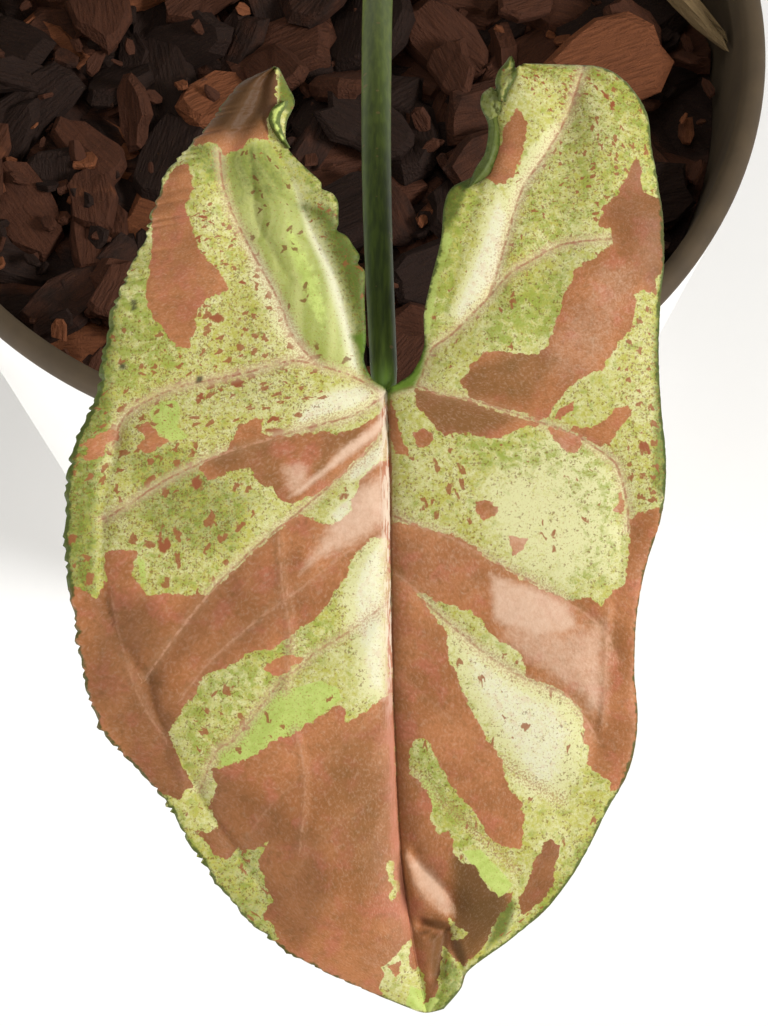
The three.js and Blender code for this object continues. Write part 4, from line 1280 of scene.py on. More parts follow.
def pink_colour(paint, place, flow, cloud, mottle):
    olive_and_shade = paint.value("olive_and_shade")
    broad = paint.noise(place, 0.16, 3.0)
    pink = paint.mix(paint.step(broad, 0.36, 0.64), PINK, PINK_DEEP)
    rosy = paint.step(paint.noise(place, 0.45, 5.0), 0.48, 0.7)
    pink = paint.lay(pink, ROSE, rosy, 0.65)
    # The olive share darkens the pink to olive, partly as painted shade in valleys and beside veins
    clouded = paint.sum((paint.step(cloud, 0.48, 0.75), 0.3), (olive_and_shade, 0.8))
    pink = paint.mix(clouded, pink, OLIVE_TONE_AND_SHADE)
    net = paint.step(paint.noise(paint.shift(place, 1.0, 0.8), 1.3, 5.0), 0.5, 0.68)
    pink = paint.lay(pink, OLIVE_TONE_AND_SHADE, net, 0.26)
    hairs = paint.noise(paint.shift(paint.stretch(flow, (0.6, 1.0, 1.0)), 2.0, 0.4), HAIRS_PER_MM, 6.0)
    pink = paint.lay(pink, PINK_PALE_AND_HIGHLIGHT, paint.step(hairs, 0.46, 0.76), 0.24)
    pink = paint.lay(pink, OLIVE_TONE_AND_SHADE, paint.step(hairs, 0.52, 0.26), 0.3)
    # The pale share washes the pink out, and on the right and at the tip this is a painted sheen and
    # highlight
    washed_and_highlight = paint.sum((paint.value("pale_and_highlight"), 1.0), (mottle, 0.45), (hairs, 0.3))
    pink = paint.mix(paint.step(washed_and_highlight, 0.42, 1.4), pink, PINK_PALE_AND_HIGHLIGHT)
    # The painted shade share darkens the pink where shade falls in folds, hollows and parts that turn away
    return paint.lay(pink, PAINTED_SHADE_BROWN, paint.value("painted_shade"), 0.9)


print("a hair in the pink in mm:", round(1 / HAIRS_PER_MM, 2))

# %% [markdown]
# ## Veins and midrib
#
# A side vein shows as a thin rose line in a pale halo. The stored distance to the nearest vein
# gives both, and a noise breaks the line and lets it wander. The midrib is wider and uneven:
# a fibrous pale band on its left, a painted shadow in the crease in the middle and painted shade
# on its right. The stored distance has a sign, so left and right can differ.

# %% Veins and midrib
VEIN_HALF_WIDTH = 0.2
HALO_HALF_WIDTH = 1.0
TIP_END, TIP_START = -56.5, -53.0


def add_veins(paint, colour, place, inside, vein):
    strength = paint.value("vein_strength")
    on_ground = paint.math("SUBTRACT", 1.0, paint.times(inside, 0.85))
    halo = paint.times(paint.step(vein, HALO_HALF_WIDTH, 0.1), on_ground, 0.4, strength)
    colour = paint.mix(halo, colour, VEIN_HALO)
    wander = paint.math("SUBTRACT", paint.noise(place, 1.6, 4.0), 0.5)
    away = paint.math("ABSOLUTE", paint.sum((paint.value("vein_side"), 1.0), (wander, 0.25)))
    broken = paint.step(paint.noise(place, 2.2, 4.0), 0.3, 0.62)
    near = paint.step(away, VEIN_HALF_WIDTH, 0.04)
    line = paint.times(near, paint.step(vein, 0.8, 0.5), broken, strength)
    line_colour = paint.mix(inside, VEIN_ON_LIME, VEIN_ON_PINK)
    return paint.lay(colour, line_colour, line, 0.72)


def add_midrib(paint, colour, place):
    wander = paint.math("SUBTRACT", paint.noise(place, 0.9, 3.0), 0.5)
    midrib = paint.sum((paint.value("midrib"), 1.0), (wander, 0.22))
    fibres = paint.step(paint.noise(paint.stretch(place, (4.5, 0.5, 1.0)), 1.2, 3.0), 0.36, 0.62)
    down = paint.node("ShaderNodeSeparateXYZ", {0: place}).outputs["Y"]
    above_tip = paint.step(down, TIP_END, TIP_START)
    left = paint.times(paint.step(midrib, -1.5, -0.25), paint.step(midrib, 0.0, -0.06))
    left = paint.times(left, above_tip, paint.sum((fibres, 0.45), (left, 0.5)))
    band = paint.mix(paint.step(fibres, 0.7, 0.2), MIDRIB_PALE, MIDRIB_ROSE)
    band = paint.mix(paint.step(down, -24.0, -36.0), band, MIDRIB_LOW)
    colour = paint.mix(left, colour, band)
    # A painted shadow in the crease and painted shade on the right side of the midrib
    line = paint.times(paint.step(midrib, -0.1, -0.02), paint.step(midrib, 0.3, 0.08), above_tip)
    colour = paint.lay(colour, MIDRIB_CREASE_SHADOW, line, 0.8)
    right = paint.times(paint.step(midrib, 0.0, 0.1), paint.step(midrib, 1.1, 0.1), above_tip)
    return paint.lay(colour, MIDRIB_SHADE, right, 0.35)


print("a vein line is up to", 2 * VEIN_HALF_WIDTH, "mm wide")

# %% [markdown]
# ## The two skins
#
# The upper skin puts the recipe together: ground, flecks and pink with a ragged border, then
# veins, midrib, the web at the joint and a dark edge. The lower skin of such a leaf is paler
# and duller, with the same patches shining through, so it is a much shorter recipe. Both are
# nearly matt, with a very low bump for the cells of the skin.


# %% Skins
def upper_skin():
    paint = Paint("blade_upper")
    place = paint.value("leaf_mm", "Vector")
    flow = paint.value("flow_mm", "Vector")
    vein = paint.value("vein")
    cloud = paint.noise(place, 0.22, 3.0)
    mottle = paint.noise(place, 1.5, 6.0)
    fine = paint.noise(place, 5.0, 2.0)
    ground, bright = ground_colour(paint, place, flow, cloud, mottle, fine)
    ground = add_flecks(paint, ground, place, flow, bright, vein)
    pink = pink_colour(paint, place, flow, cloud, mottle)
    rag = paint.math("SUBTRACT", paint.noise(place, 1.5, 5.0), 0.5)
    inside = paint.step(paint.sum((paint.value("pink"), 1.0), (rag, 1.1)), -0.05, 0.07)
    colour = add_veins(paint, paint.mix(inside, ground, pink), place, inside, vein)
    colour = add_midrib(paint, colour, place)
    colour = paint.mix(paint.value("soil"), colour, SOIL)
    # The rolled share paints the deep green of folded edges as painted shade
    colour = paint.lay(colour, ROLLED_SHADE_GREEN, paint.value("rolled"), 0.9)
    colour = paint.mix(paint.value("web"), colour, WEB_GREEN)
    edge = paint.sum((paint.value("edge"), 1.0), (mottle, 1.1), (paint.value("rim"), -0.5))
    colour = paint.lay(colour, DARK_GREEN, paint.step(edge, 0.8, 0.5), 0.85)
    paint.bump(paint.sum((mottle, 1.0), (fine, 0.7)), 0.00013, 0.4)
    return paint.finish(colour, 0.52, 0.2)


def lower_skin():
    paint = Paint("blade_lower")
    place = paint.value("leaf_mm", "Vector")
    grain = paint.noise(place, 2.4, 4.0)
    ground = paint.mix(paint.step(grain, 0.35, 0.65), *UNDER_GREEN)
    rag = paint.math("SUBTRACT", grain, 0.5)
    inside = paint.step(paint.sum((paint.value("pink"), 1.0), (rag, 1.2)), -0.3, 0.4)
    colour = paint.mix(inside, ground, UNDER_PINK)
    away = paint.value("vein")
    colour = paint.mix(paint.times(paint.step(away, 0.5, 0.15), 0.5), colour, UNDER_VEIN)
    edge = paint.step(paint.value("edge"), 0.5, 0.1)
    colour = paint.lay(colour, DARK_GREEN, edge, 0.7)
    paint.bump(grain, 0.0001, 0.4)
    return paint.finish(colour, 0.55, 0.3)


UPPER_SKIN = upper_skin()
LOWER_SKIN = lower_skin()
for skin in (UPPER_SKIN, LOWER_SKIN):
    print(skin.name, "has", len(skin.node_tree.nodes), "nodes")

# %% [markdown]
# ## The five leaves
#
# Each blade hangs from its joint with its tip pointing outwards and down. Four values place it:
# the joint, the heading of its tip, its fall from level and its roll. They repeat the measured
# model, so each finer blade lies in the plain one that it stands for. Only the front blade is in
# the photo, so only that one has the outline points of its patches and a dense mesh.

# %% Where the leaves stand
LEAVES = [
    {"name": "front", "seed": 1, "patches": 0, "wave": 0.35, "droop": 0.6,
     "stalk": [(9.5, 20, 0), (9.2, 10, 9), (8.7, -8, 32), (8.3, -40, 62), (8.4, -72, 78),
               (9.2, -95.85, 81.4)],
     "thick": (2.2, 1.35), "joint": (9.5, -95.5, 83.5), "heading": -90, "fall": 25, "roll": 0,
     "size": 1.0, "mirror": False},
    {"name": "left", "seed": 2, "patches": 13, "wave": 0.6, "droop": 4.0,
     "stalk": [(7, 21, 4), (-3, 20.5, 13), (-18, 23, 36), (-38, 27, 54), (-59.5, 25.6, 60.6)],
     "thick": (1.9, 1.15), "joint": (-58, 26, 62), "heading": 194, "fall": 32, "roll": -8,
     "size": 0.82, "mirror": True},
    {"name": "back_left", "seed": 3, "patches": 17, "wave": 0.6, "droop": 3.0,
     "stalk": [(8.5, 24, -4), (3.5, 35, 7), (-8, 57, 44), (-24, 80, 80), (-34.8, 97.4, 91)],
     "thick": (2.1, 1.25), "joint": (-34, 96, 92.5), "heading": 120, "fall": 30, "roll": 6,
     "size": 0.92, "mirror": False},
    {"name": "back_right", "seed": 4, "patches": 11, "wave": 0.5, "droop": 3.0,
     "stalk": [(11, 24.5, 6), (17.5, 35, 21), (30, 53, 61), (42, 73, 93), (53, 89.2, 107)],
     "thick": (2.1, 1.2), "joint": (52, 88, 108.5), "heading": 50, "fall": 28, "roll": -5,
     "size": 0.88, "mirror": True},
    {"name": "right", "seed": 5, "patches": 15, "wave": 0.6, "droop": 4.0,
     "stalk": [(12, 21.5, -3), (23, 18.5, 7), (43, 14, 40), (62, 11, 63), (79.5, 9.7, 68.6)],
     "thick": (1.8, 1.1), "joint": (78, 10, 70), "heading": -12, "fall": 31, "roll": 7,
     "size": 0.76, "mirror": False},
]
FRONT = LEAVES[0]


def blade_axes(leaf):
    heading, fall, roll = (math.radians(leaf[key]) for key in ("heading", "fall", "roll"))
    level = math.cos(fall)
    tip = np.array([math.cos(heading) * level, math.sin(heading) * level, -math.sin(fall)])
    to_lobes = -tip
    across = np.cross(to_lobes, (0, 0, 1))
    across /= np.linalg.norm(across)
    normal = np.cross(across, to_lobes)
    rolled = across * math.cos(roll) - normal * math.sin(roll)
    return np.array([rolled, to_lobes, np.cross(rolled, to_lobes)])


def place_blade(points, leaf):
    scale = np.array([-1 if leaf["mirror"] else 1, 1, 1]) * leaf["size"]
    origin = np.array(leaf["joint"]) + (0, 0, POT_TOP)
    return (points * scale) @ blade_axes(leaf) + origin


print("tip of the front blade, in mm:", place_blade(np.array([(3.9, -TIP_DISTANCE, 0)]), FRONT)[0].round(1))

# %% [markdown]
# ## Making the blades
#
# Each half is built flat, put in place and given both skins. A face that touches a point of the
# lower sheet gets the lower skin. A mirrored blade has its faces turned round, or they would point
# inwards. Some points of the front blade are kept, because its curled edges rest on them.

# %% Make the blades
# Rows between two ribs, columns across a half
FRONT_DETAIL = (18, 84)
OTHER_DETAIL = (7, 36)
front_upper = []
for leaf in LEAVES:
    detail = FRONT_DETAIL if leaf is FRONT else OTHER_DETAIL
    node = leaf["name"] + "_blade"
    for side, half in ((LEFT, "left"), (RIGHT, "right")):
        upper, lower, faces, values = build_half(leaf, side, *detail)
        points = place_blade(np.vstack([upper, lower]), leaf)
        if leaf["mirror"]:
            faces = faces[:, ::-1]
        below = (faces >= len(upper)).any(axis=1).astype(int)
        skins = [UPPER_SKIN, LOWER_SKIN]
        make_piece(f"{node}_{half}_half", points, faces.tolist(), [node], skins, values, below)
        if leaf is FRONT:
            front_upper.append(upper[::5])
front_surface = np.vstack(front_upper)

# %% [markdown]
# ## Curled edges
#
# The inner margins of both lobes curl up in a few places. Each curl is a small arched strip between
# two lines of photo pixels, listed from its foot upwards. It takes the height of the nearest point
# of the blade and adds its own lift and arch, so it rests on the blade below it.

# %% Curled edges
# Name, lift and arch in millimetres, colour values, left side, right side
CURLS = [
    ("flap", 0.5, 0.8, {"green": 0.55, "rim": 0.6},
     [(497, 100), (497, 88), (496, 78), (499, 68), (506, 59), (510, 53)],
     [(506, 101), (508, 92), (513, 82), (517, 72), (516, 61), (513, 53)]),
    ("lobule", 0.3, 0.7, {"rolled": 0.8},
     [(489, 118), (484, 111), (481, 101), (483, 91), (490, 85)],
     [(494, 119), (500, 112), (502, 101), (500, 91), (494, 85)]),
    # The rolled edge is painted deep green as painted shade where it turns down
    ("rolled_edge", 0.25, 0.6, {"rolled": 1.0},
     [(468, 188), (475, 169), (485, 153), (488, 140), (490, 126), (487, 113)],
     [(477, 183), (489, 174), (494, 163), (499, 149), (500, 133), (497, 114)]),
    # The left lip is painted bright lime, partly as a painted highlight
    ("left_lip", 0.3, 0.6, {"bright": 0.8, "rim": 0.5},
     [(288, 147), (279, 138), (271, 127), (268, 116), (273, 106), (282, 101)],
     [(290, 146), (284, 134), (280, 122), (281, 113), (285, 106), (288, 99)]),
]
CURL_ROWS, CURL_COLUMNS = 24, 10
CURL_THICKNESS = 0.25


def curled_edge(lift, arch, left, right):
    shares = np.linspace(0, 1, CURL_ROWS + 1)
    across = np.linspace(0, 1, CURL_COLUMNS + 1)
    left, right = spline(leaf_mm(left), shares), spline(leaf_mm(right), shares)
    flat = (left[:, None] + (right - left)[:, None] * across[None, :, None]).reshape(-1, 2)
    nearest = np.argmin(((flat[:, None] - front_surface[None, :, :2]) ** 2).sum(axis=2), axis=1)
    height = front_surface[nearest, 2] + lift + arch * np.tile(np.sin(math.pi * across), CURL_ROWS + 1)
    edge = np.minimum(distance_to(flat, left), distance_to(flat, right))
    return np.column_stack([flat, height]), edge


for name, lift, arch, colours, left, right in CURLS:
    upper, edge = curled_edge(lift, arch, left, right)
    faces = closed_faces(grid_quads(CURL_ROWS + 1, CURL_COLUMNS + 1))
    size = len(upper)
    noise_depth = np.full(size, FRONT["seed"] * NOISE_DEPTH_STEP)
    values = {kind: np.full(2 * size, colours.get(kind, 0.0)) for kind in AREA_KINDS}
    values["leaf_mm"] = np.tile(np.column_stack([upper[:, :2], noise_depth]), (2, 1))
    values.update(flow_mm=values["leaf_mm"], edge=np.tile(edge, 2), pink=np.full(2 * size, FAR_OUTSIDE))
    values.update(vein=np.full(2 * size, NO_VEIN), midrib=np.full(2 * size, NO_VEIN))
    points = place_blade(np.vstack([upper, upper - (0, 0, CURL_THICKNESS)]), FRONT)
    make_piece("front_blade_" + name, points, faces.tolist(), ["front_blade"], [UPPER_SKIN], values)

# %% [markdown]
# ## A tube along a curve
#
# Stalks, stem and rolled leaf are all tubes whose section changes along the way. A ring of points
# is set square to the curve at each step. A side vector is carried from ring to ring, so the tube
# doesn't twist, and a function of the piece gives each ring its radii.


# %% Tube helper
def tube(route, steps, sides, section):
    shares = np.linspace(0, 1, steps + 1)
    centres = spline(route, shares, even=False)
    tangents = np.gradient(centres, axis=0)
    tangents /= np.linalg.norm(tangents, axis=1)[:, None]
    side = np.cross(tangents[0], (0.3, 0.1, 1.0))
    turns = np.arange(sides) / sides
    angles = 2 * math.pi * turns
    rings = []
    for share, centre, tangent in zip(shares, centres, tangents):
        side = side - tangent * (side @ tangent)
        side /= np.linalg.norm(side)
        up = np.cross(side, tangent)
        spokes = np.cos(angles)[:, None] * side + np.sin(angles)[:, None] * up
        rings.append(centre + section(share, turns)[:, None] * spokes)
    points = np.vstack(rings + [centres[:1], centres[-1:]])
    first, last = len(points) - 2, len(points) - 1
    faces = []
    for j in range(sides):
        after = (j + 1) % sides
        faces.append((first, j, after))
        faces.append((last, steps * sides + after, steps * sides + j))
        for i in range(steps):
            row = i * sides
            faces.append((row + j, row + sides + j, row + sides + after, row + after))
    along = np.append(np.repeat(shares, sides), [0, 1])
    return points, faces, along


sample_tube = tube([(0, 0, 0), (0, 0, 10)], 2, 6, lambda share, turns: np.ones(len(turns)))
print("points of a small sample tube:", len(sample_tube[0]))

# %% [markdown]
# ## The finish of a stalk
#
# A stalk is green and glossy, with fine fibres along it. Towards the blade it is painted a darker,
# fresher green, as painted shade under the lobes, and it is pale in the sheath at its foot. The
# share along the tube is stored on the points, so the colour can change with it however the
# stalk bends.

# %% Stalk skin
STALK_SHADED_GREEN = (srgb(42, 56, 10), srgb(62, 78, 18))
STALK_OLD = (srgb(74, 88, 26), srgb(94, 106, 38))
STALK_FOOT = (srgb(122, 134, 74), srgb(150, 150, 96))
STALK_END = srgb(84, 112, 32)
STALK_SPOT = srgb(126, 92, 62)


def stalk_skin():
    paint = Paint("stalk_skin")
    place = paint.object_place()
    along = paint.value("along")
    fibres = paint.noise(paint.stretch(place, (1.0, 0.12, 0.2)), 2600.0, 3.0)
    fibre_share = paint.step(fibres, 0.35, 0.7)
    shaded_green = paint.mix(fibre_share, *STALK_SHADED_GREEN)
    old = paint.mix(fibre_share, *STALK_OLD)
    # Darker green towards the blade is painted shade under the lobes
    green = paint.mix(paint.step(along, 0.45, 0.85), old, shaded_green)
    foot = paint.mix(fibres, *STALK_FOOT)
    colour = paint.mix(paint.step(along, 0.3, 0.0), green, foot)
    colour = paint.mix(paint.step(along, 0.96, 1.0), colour, STALK_END)
    spots = paint.specks(paint.stretch(place, (700.0, 700.0, 700.0)), 1.0, 0.22, 0.3)
    colour = paint.lay(colour, STALK_SPOT, spots, 0.4)
    paint.bump(fibres, 0.0001, 0.3)
    return paint.finish(colour, 0.45, 0.25)


STALK_SKIN = stalk_skin()
print("stalk skin has", len(STALK_SKIN.node_tree.nodes), "nodes")

# %% [markdown]
# ## Stalks
#
# Near its foot a stalk widens into a sheath, with a groove on its upper side that holds the next
# leaf while it is young. Above that it tapers evenly, and its very end is rounded off where it
# runs into the blade. Its section is a function of the place along it, so all of this is one line each.

# %% Make the stalks
SHEATH_SHARE = 0.28
SHEATH_SWELL = 0.9
GROOVE_SHARE = 0.4
GROOVE_DEPTH = 0.7
ROUND_END_SHARE = 0.03
for leaf in LEAVES:
    thick, thin = leaf["thick"]

    def section(share, turns):
        swell = SHEATH_SWELL * max(0.0, 1 - share / SHEATH_SHARE)
        groove = GROOVE_DEPTH * max(0.0, 1 - share / GROOVE_SHARE) * bell(turns - 0.25, 0.09)
        past_end = max(0.0, (share - (1 - ROUND_END_SHARE)) / ROUND_END_SHARE)
        end = math.sqrt(max(0.02, 1 - past_end**2))
        return (thick + (thin - thick) * share + swell - groove) * end

    route = np.array(leaf["stalk"]) + (0, 0, POT_TOP)
    points, faces, along = tube(route, 60, 24, section)
    name = leaf["name"] + "_stalk"
    make_piece(name + "_dressed", points, faces, [name], [STALK_SKIN], {"along": along})

# %% [markdown]
# ## The stem
#
# The stem is a short cane with swollen joints and the papery scars of old leaves. It is turned
# from a list of heights and radii, and its section is a little oval, as real stems are.

# %% Stem
STEM_LIGHT = (srgb(96, 106, 52), srgb(136, 138, 84))
LEAF_SCAR = srgb(158, 128, 88)
STEM_FOOT = (9.5, 22.0)
STEM_RADIUS = 5.0
MIX_TOP = POT_TOP - 14
# Height over the mix in millimetres, share of the stem's radius
STEM_PROFILE = [(-38, 0.45), (-26, 0.9), (-14, 1.0), (1, 1.0), (5, 1.0), (8, 1.12), (10, 0.98),
                (12, 0.92), (15, 0.95), (18, 1.03), (20, 0.95), (23, 0.82), (25, 0.7)]
stem_heights = np.array([height for height, _ in STEM_PROFILE], float) + MIX_TOP
stem_radii = STEM_RADIUS * np.array([radius for _, radius in STEM_PROFILE])
stem_route = [(*STEM_FOOT, height) for height in np.linspace(stem_heights[0], stem_heights[-1], 8)]


def stem_skin():
    paint = Paint("stem_skin")
    place = paint.object_place()
    grain = paint.noise(paint.stretch(place, (1.0, 1.0, 0.25)), 900.0, 4.0)
    rings = paint.noise(paint.stretch(place, (0.05, 0.05, 1.0)), 500.0, 2.0)
    colour = paint.mix(paint.step(grain, 0.35, 0.7), *STEM_LIGHT)
    colour = paint.mix(paint.step(rings, 0.54, 0.62), colour, LEAF_SCAR)
    paint.bump(grain, 0.0003, 0.5)
    return paint.finish(colour, 0.55, 0.35)


def stem_section(share, turns):
    height = stem_heights[0] + share * (stem_heights[-1] - stem_heights[0])
    return np.interp(height, stem_heights, stem_radii) * (1 + 0.03 * np.sin(4 * math.pi * turns + 9 * share))


points, faces, along = tube(stem_route, 90, 32, stem_section)
make_piece("stem_dressed", points, faces, ["stem"], [stem_skin()], {"along": along})

# %% [markdown]
# ## The new leaf
#
# The newest leaf comes out of the stem's top. It is still rolled, so its section is a spiral: the
# radius grows once round and steps back, which leaves the free edge of the blade standing as a
# thin line down the roll. Its lower part is a plain stalk, and its colours are those of a blade.

# %% New leaf
ROLL_BLADE = (srgb(204, 206, 128), srgb(196, 142, 110))
ROLL_DOT = srgb(136, 96, 60)
ROLL_STALK = srgb(112, 130, 60)
NEW_LEAF_ROUTE = [(9.6, 22.2, 11.4), (10, 24, 34), (11, 26, 62), (12.2, 27, 92), (14, 27, 122)]
ROLL_START = 0.42
NEW_STALK_THICK = 1.9
NEW_STALK_THIN = 1.3


def new_leaf_skin():
    paint = Paint("new_leaf_skin")
    place = paint.stretch(paint.object_place(), (1000.0, 1000.0, 1000.0))
    along = paint.value("along")
    cloud = paint.noise(paint.stretch(place, (1.0, 1.0, 0.15)), 0.8, 4.0)
    blade = paint.mix(paint.step(cloud, 0.42, 0.52), *ROLL_BLADE)
    dots = paint.specks(paint.shift(place, 2.0, 0.5), 1.6, 0.34, 0.4)
    blade = paint.lay(blade, ROLL_DOT, dots, 0.7)
    colour = paint.mix(paint.step(along, 0.4, 0.46), ROLL_STALK, blade)
    paint.bump(cloud, 0.0002, 0.4)
    return paint.finish(colour, 0.42, 0.4)


def new_leaf_section(share, turns):
    if share < ROLL_START:
        radius = NEW_STALK_THICK + (NEW_STALK_THIN - NEW_STALK_THICK) * share / ROLL_START
        return np.full(len(turns), radius)
    inside = (share - ROLL_START) / (1 - ROLL_START)
    swell = 2.1 * math.sin(math.pi * inside**0.7) * (1 + 0.35 * turns)
    return 0.25 + 1.05 * (1 - inside) + swell


points, faces, along = tube(np.array(NEW_LEAF_ROUTE) + (0, 0, POT_TOP), 80, 40, new_leaf_section)
make_piece("new_leaf_dressed", points, faces, ["new_leaf"], [new_leaf_skin()], {"along": along})

# %% [markdown]
# ## Stacked rings
#
# The pot, the bark under it and each chip are stacks of rings with a closed bottom and top. The
# points differ but the faces always join in the same way, so one function lists them for all three.


# %% Stacked rings
def stacked_faces(rings, sides):
    top_row = (rings - 1) * sides
    bottom, top = rings * sides, rings * sides + 1
    faces = []
    for j in range(sides):
        after = (j + 1) % sides
        faces.append((bottom, after, j))
        faces.append((top, top_row + j, top_row + after))
        for row in range(0, top_row, sides):
            faces.append((row + j, row + after, row + sides + after, row + sides + j))
    return faces


def turned(profile, sides):
    angles = 2 * math.pi * np.arange(sides) / sides
    circle = np.column_stack([np.cos(angles), np.sin(angles)])
    rings = [np.column_stack([radius * circle, np.full(sides, z)]) for radius, z in profile[1:-1]]
    points = np.vstack(rings + [[(0, 0, profile[0][1])], [(0, 0, profile[-1][1])]])
    return points, stacked_faces(len(rings), sides)


print("faces of a stack of 4 rings with 12 sides:", len(stacked_faces(4, 12)))

# %% [markdown]
# ## The finish of the pot
#
# The outside is white glaze with a few faint flecks. The glaze stops a little below the lip, so
# the lip and the inside show bare brown clay, which the photo shows as a brown band. Its dark tone
# is partly painted shade, as in the shaded inside of the pot. The material finds these places by
# height and by distance from the axis, since the wall is a cone.

# %% Pot skin
POT_RIM = 60.0
POT_BASE = 43.0
POT_WALL = 3.2
POT_FLOOR = 4.0
BARE_EDGE = 2.6
GLAZE = (srgb(243, 241, 236), srgb(249, 248, 245))
GLAZE_FLECK = srgb(196, 180, 158)
CLAY_AND_SHADE = (srgb(58, 46, 30), srgb(86, 70, 48))


def pot_skin():
    paint = Paint("white_glaze")
    place = paint.object_place()
    height = paint.node("ShaderNodeSeparateXYZ", {0: place}).outputs["Z"]
    ground_plan = paint.stretch(place, (1.0, 1.0, 0.0))
    radius = paint.node("ShaderNodeVectorMath", {0: ground_plan}, operation="LENGTH").outputs["Value"]
    slope = (POT_RIM - POT_BASE) / POT_TOP
    wall_place = paint.math("SUBTRACT", radius, paint.times(height, slope))
    inside = paint.step(wall_place, (POT_BASE - 0.7) * MM, (POT_BASE - 1.1) * MM)
    lip = paint.step(height, (POT_TOP - BARE_EDGE - 0.3) * MM, (POT_TOP - BARE_EDGE) * MM)
    above_floor = paint.step(height, (POT_FLOOR - 1) * MM, (POT_FLOOR - 0.5) * MM)
    bare = paint.times(paint.math("MAXIMUM", inside, lip), above_floor)
    colour = paint.mix(paint.noise(place, 30.0, 3.0), *GLAZE)
    flecks = paint.specks(paint.stretch(place, (1000.0, 1000.0, 1000.0)), 0.35, 0.12, 0.2)
    colour = paint.lay(colour, GLAZE_FLECK, flecks, 0.25)
    # The clay is painted dark, partly as painted shade inside the pot
    clay_and_shade = paint.mix(paint.noise(place, 260.0, 5.0), *CLAY_AND_SHADE)
    colour = paint.mix(bare, colour, clay_and_shade)
    paint.bump(paint.noise(place, 120.0, 3.0), 0.0002, 0.25)
    roughness = paint.sum((bare, 0.5), (paint.noise(place, 40.0), 0.1))
    return paint.finish(colour, paint.math("ADD", roughness, 0.25), 0.5)


print("glaze ends", BARE_EDGE, "mm below the top")

# %% [markdown]
# ## The pot
#
# The pot is turned: one profile swept round its axis. The plain solid has 48 flat sides, which
# would show on the rim, so it is made again with 180 sides and a rounded lip. The profile runs
# from the middle of the base, up the outside, over the lip and down to the middle of the floor.

# %% Pot
POT_SIDES = 180
FOOT_ROUNDING = 1.2


def pot_outside(height):
    return POT_BASE + (POT_RIM - POT_BASE) * height / POT_TOP


def pot_inside(height):
    return pot_outside(height) - POT_WALL


def arc(middle, radius, start, stop, count):
    angles = np.radians(np.linspace(start, stop, count))
    return [(middle[0] + radius * math.cos(a), middle[1] + radius * math.sin(a)) for a in angles]


lip = POT_WALL / 2
foot = POT_BASE - FOOT_ROUNDING
pot_profile = [(0, 0), (foot, 0)]
pot_profile += arc((foot, FOOT_ROUNDING), FOOT_ROUNDING, -90, 0, 5)
pot_profile += [(pot_outside(height), height) for height in (20, 45, 70, 90)]
pot_profile += arc((POT_RIM - lip, POT_TOP - lip), lip, 0, 180, 13)
pot_profile += [(pot_inside(height), height) for height in (90, 60, 30, POT_FLOOR + 2)]
pot_profile += [(pot_inside(POT_FLOOR) - 1.5, POT_FLOOR), (0, POT_FLOOR)]
points, faces = turned(pot_profile, POT_SIDES)
pot = make_piece("pot_dressed", points, faces, ["pot"], [pot_skin()])

# %% [markdown]
# ## Drain holes
#
# Five holes in the pot's floor let the water out. They are cut with a Boolean, which is simpler
# than a mesh with holes in it, and each cut is applied at once so that no modifier is left.

# %% Drain holes
DRAIN_HOLES = 5
DRAIN_RADIUS = 4.5
DRAIN_RING = 25.0
DRILL_LENGTH = 3 * POT_FLOOR
for i in range(DRAIN_HOLES):
    angle = 2 * math.pi * i / DRAIN_HOLES
    centre = (DRAIN_RING * math.cos(angle) * MM, DRAIN_RING * math.sin(angle) * MM, 0)
    drill_size = {"radius": DRAIN_RADIUS * MM, "depth": DRILL_LENGTH * MM}
    bpy.ops.mesh.primitive_cylinder_add(vertices=32, location=centre, **drill_size)
    drill = bpy.context.object
    cut = pot.modifiers.new("drain", "BOOLEAN")
    cut.object = drill
    cut.operation = "DIFFERENCE"
    bpy.context.view_layer.objects.active = pot
    bpy.ops.object.modifier_apply(modifier=cut.name)
    bpy.data.objects.remove(drill, do_unlink=True)
print("pot with drain holes:", len(pot.data.polygons), "faces")

# %% [markdown]
# ## A chip of bark
#
# Potting bark is split chips, flat and long. Each chip here is a slab with an uneven outline, a few
# layers deep, and each layer steps in or out a little, as bark splits. A seed fixes every draw,
# so the mix is the same each time. A chip that would leave the pot is pressed back inside.

# %% Bark chip
CHIP_CEILING = POT_TOP - 2.2
WALL_GAP = 0.4
random = np.random.default_rng(7)


def bark_chip(length, sides, levels):
    width = length * random.uniform(0.45, 0.8)
    depth = length * random.uniform(0.16, 0.3)
    angles = 2 * math.pi * (np.arange(sides) + random.uniform(-0.25, 0.25, sides)) / sides
    square = 1 / np.maximum(np.abs(np.cos(angles)), np.abs(np.sin(angles))) ** 0.7
    outline = np.column_stack([np.cos(angles) * length / 2, np.sin(angles) * width / 2])
    outline *= (square * random.uniform(0.78, 1.08, sides))[:, None]
    heights = np.linspace(-0.5, 0.5, levels) * depth
    bow = random.uniform(-0.06, 0.06)
    rings = []
    for level, height in enumerate(heights):
        shrink = 0.86 if level in (0, levels - 1) else random.uniform(0.93, 1.05)
        ring = outline * shrink * random.uniform(0.95, 1.05, (sides, 1))
        lift = height + bow * ring[:, 0] ** 2 / 4 + random.uniform(-0.08, 0.08, sides) * depth
        rings.append(np.column_stack([ring, lift]))
    points = np.vstack(rings + [[rings[0].mean(axis=0)], [rings[-1].mean(axis=0)]])
    return points, stacked_faces(levels, sides)


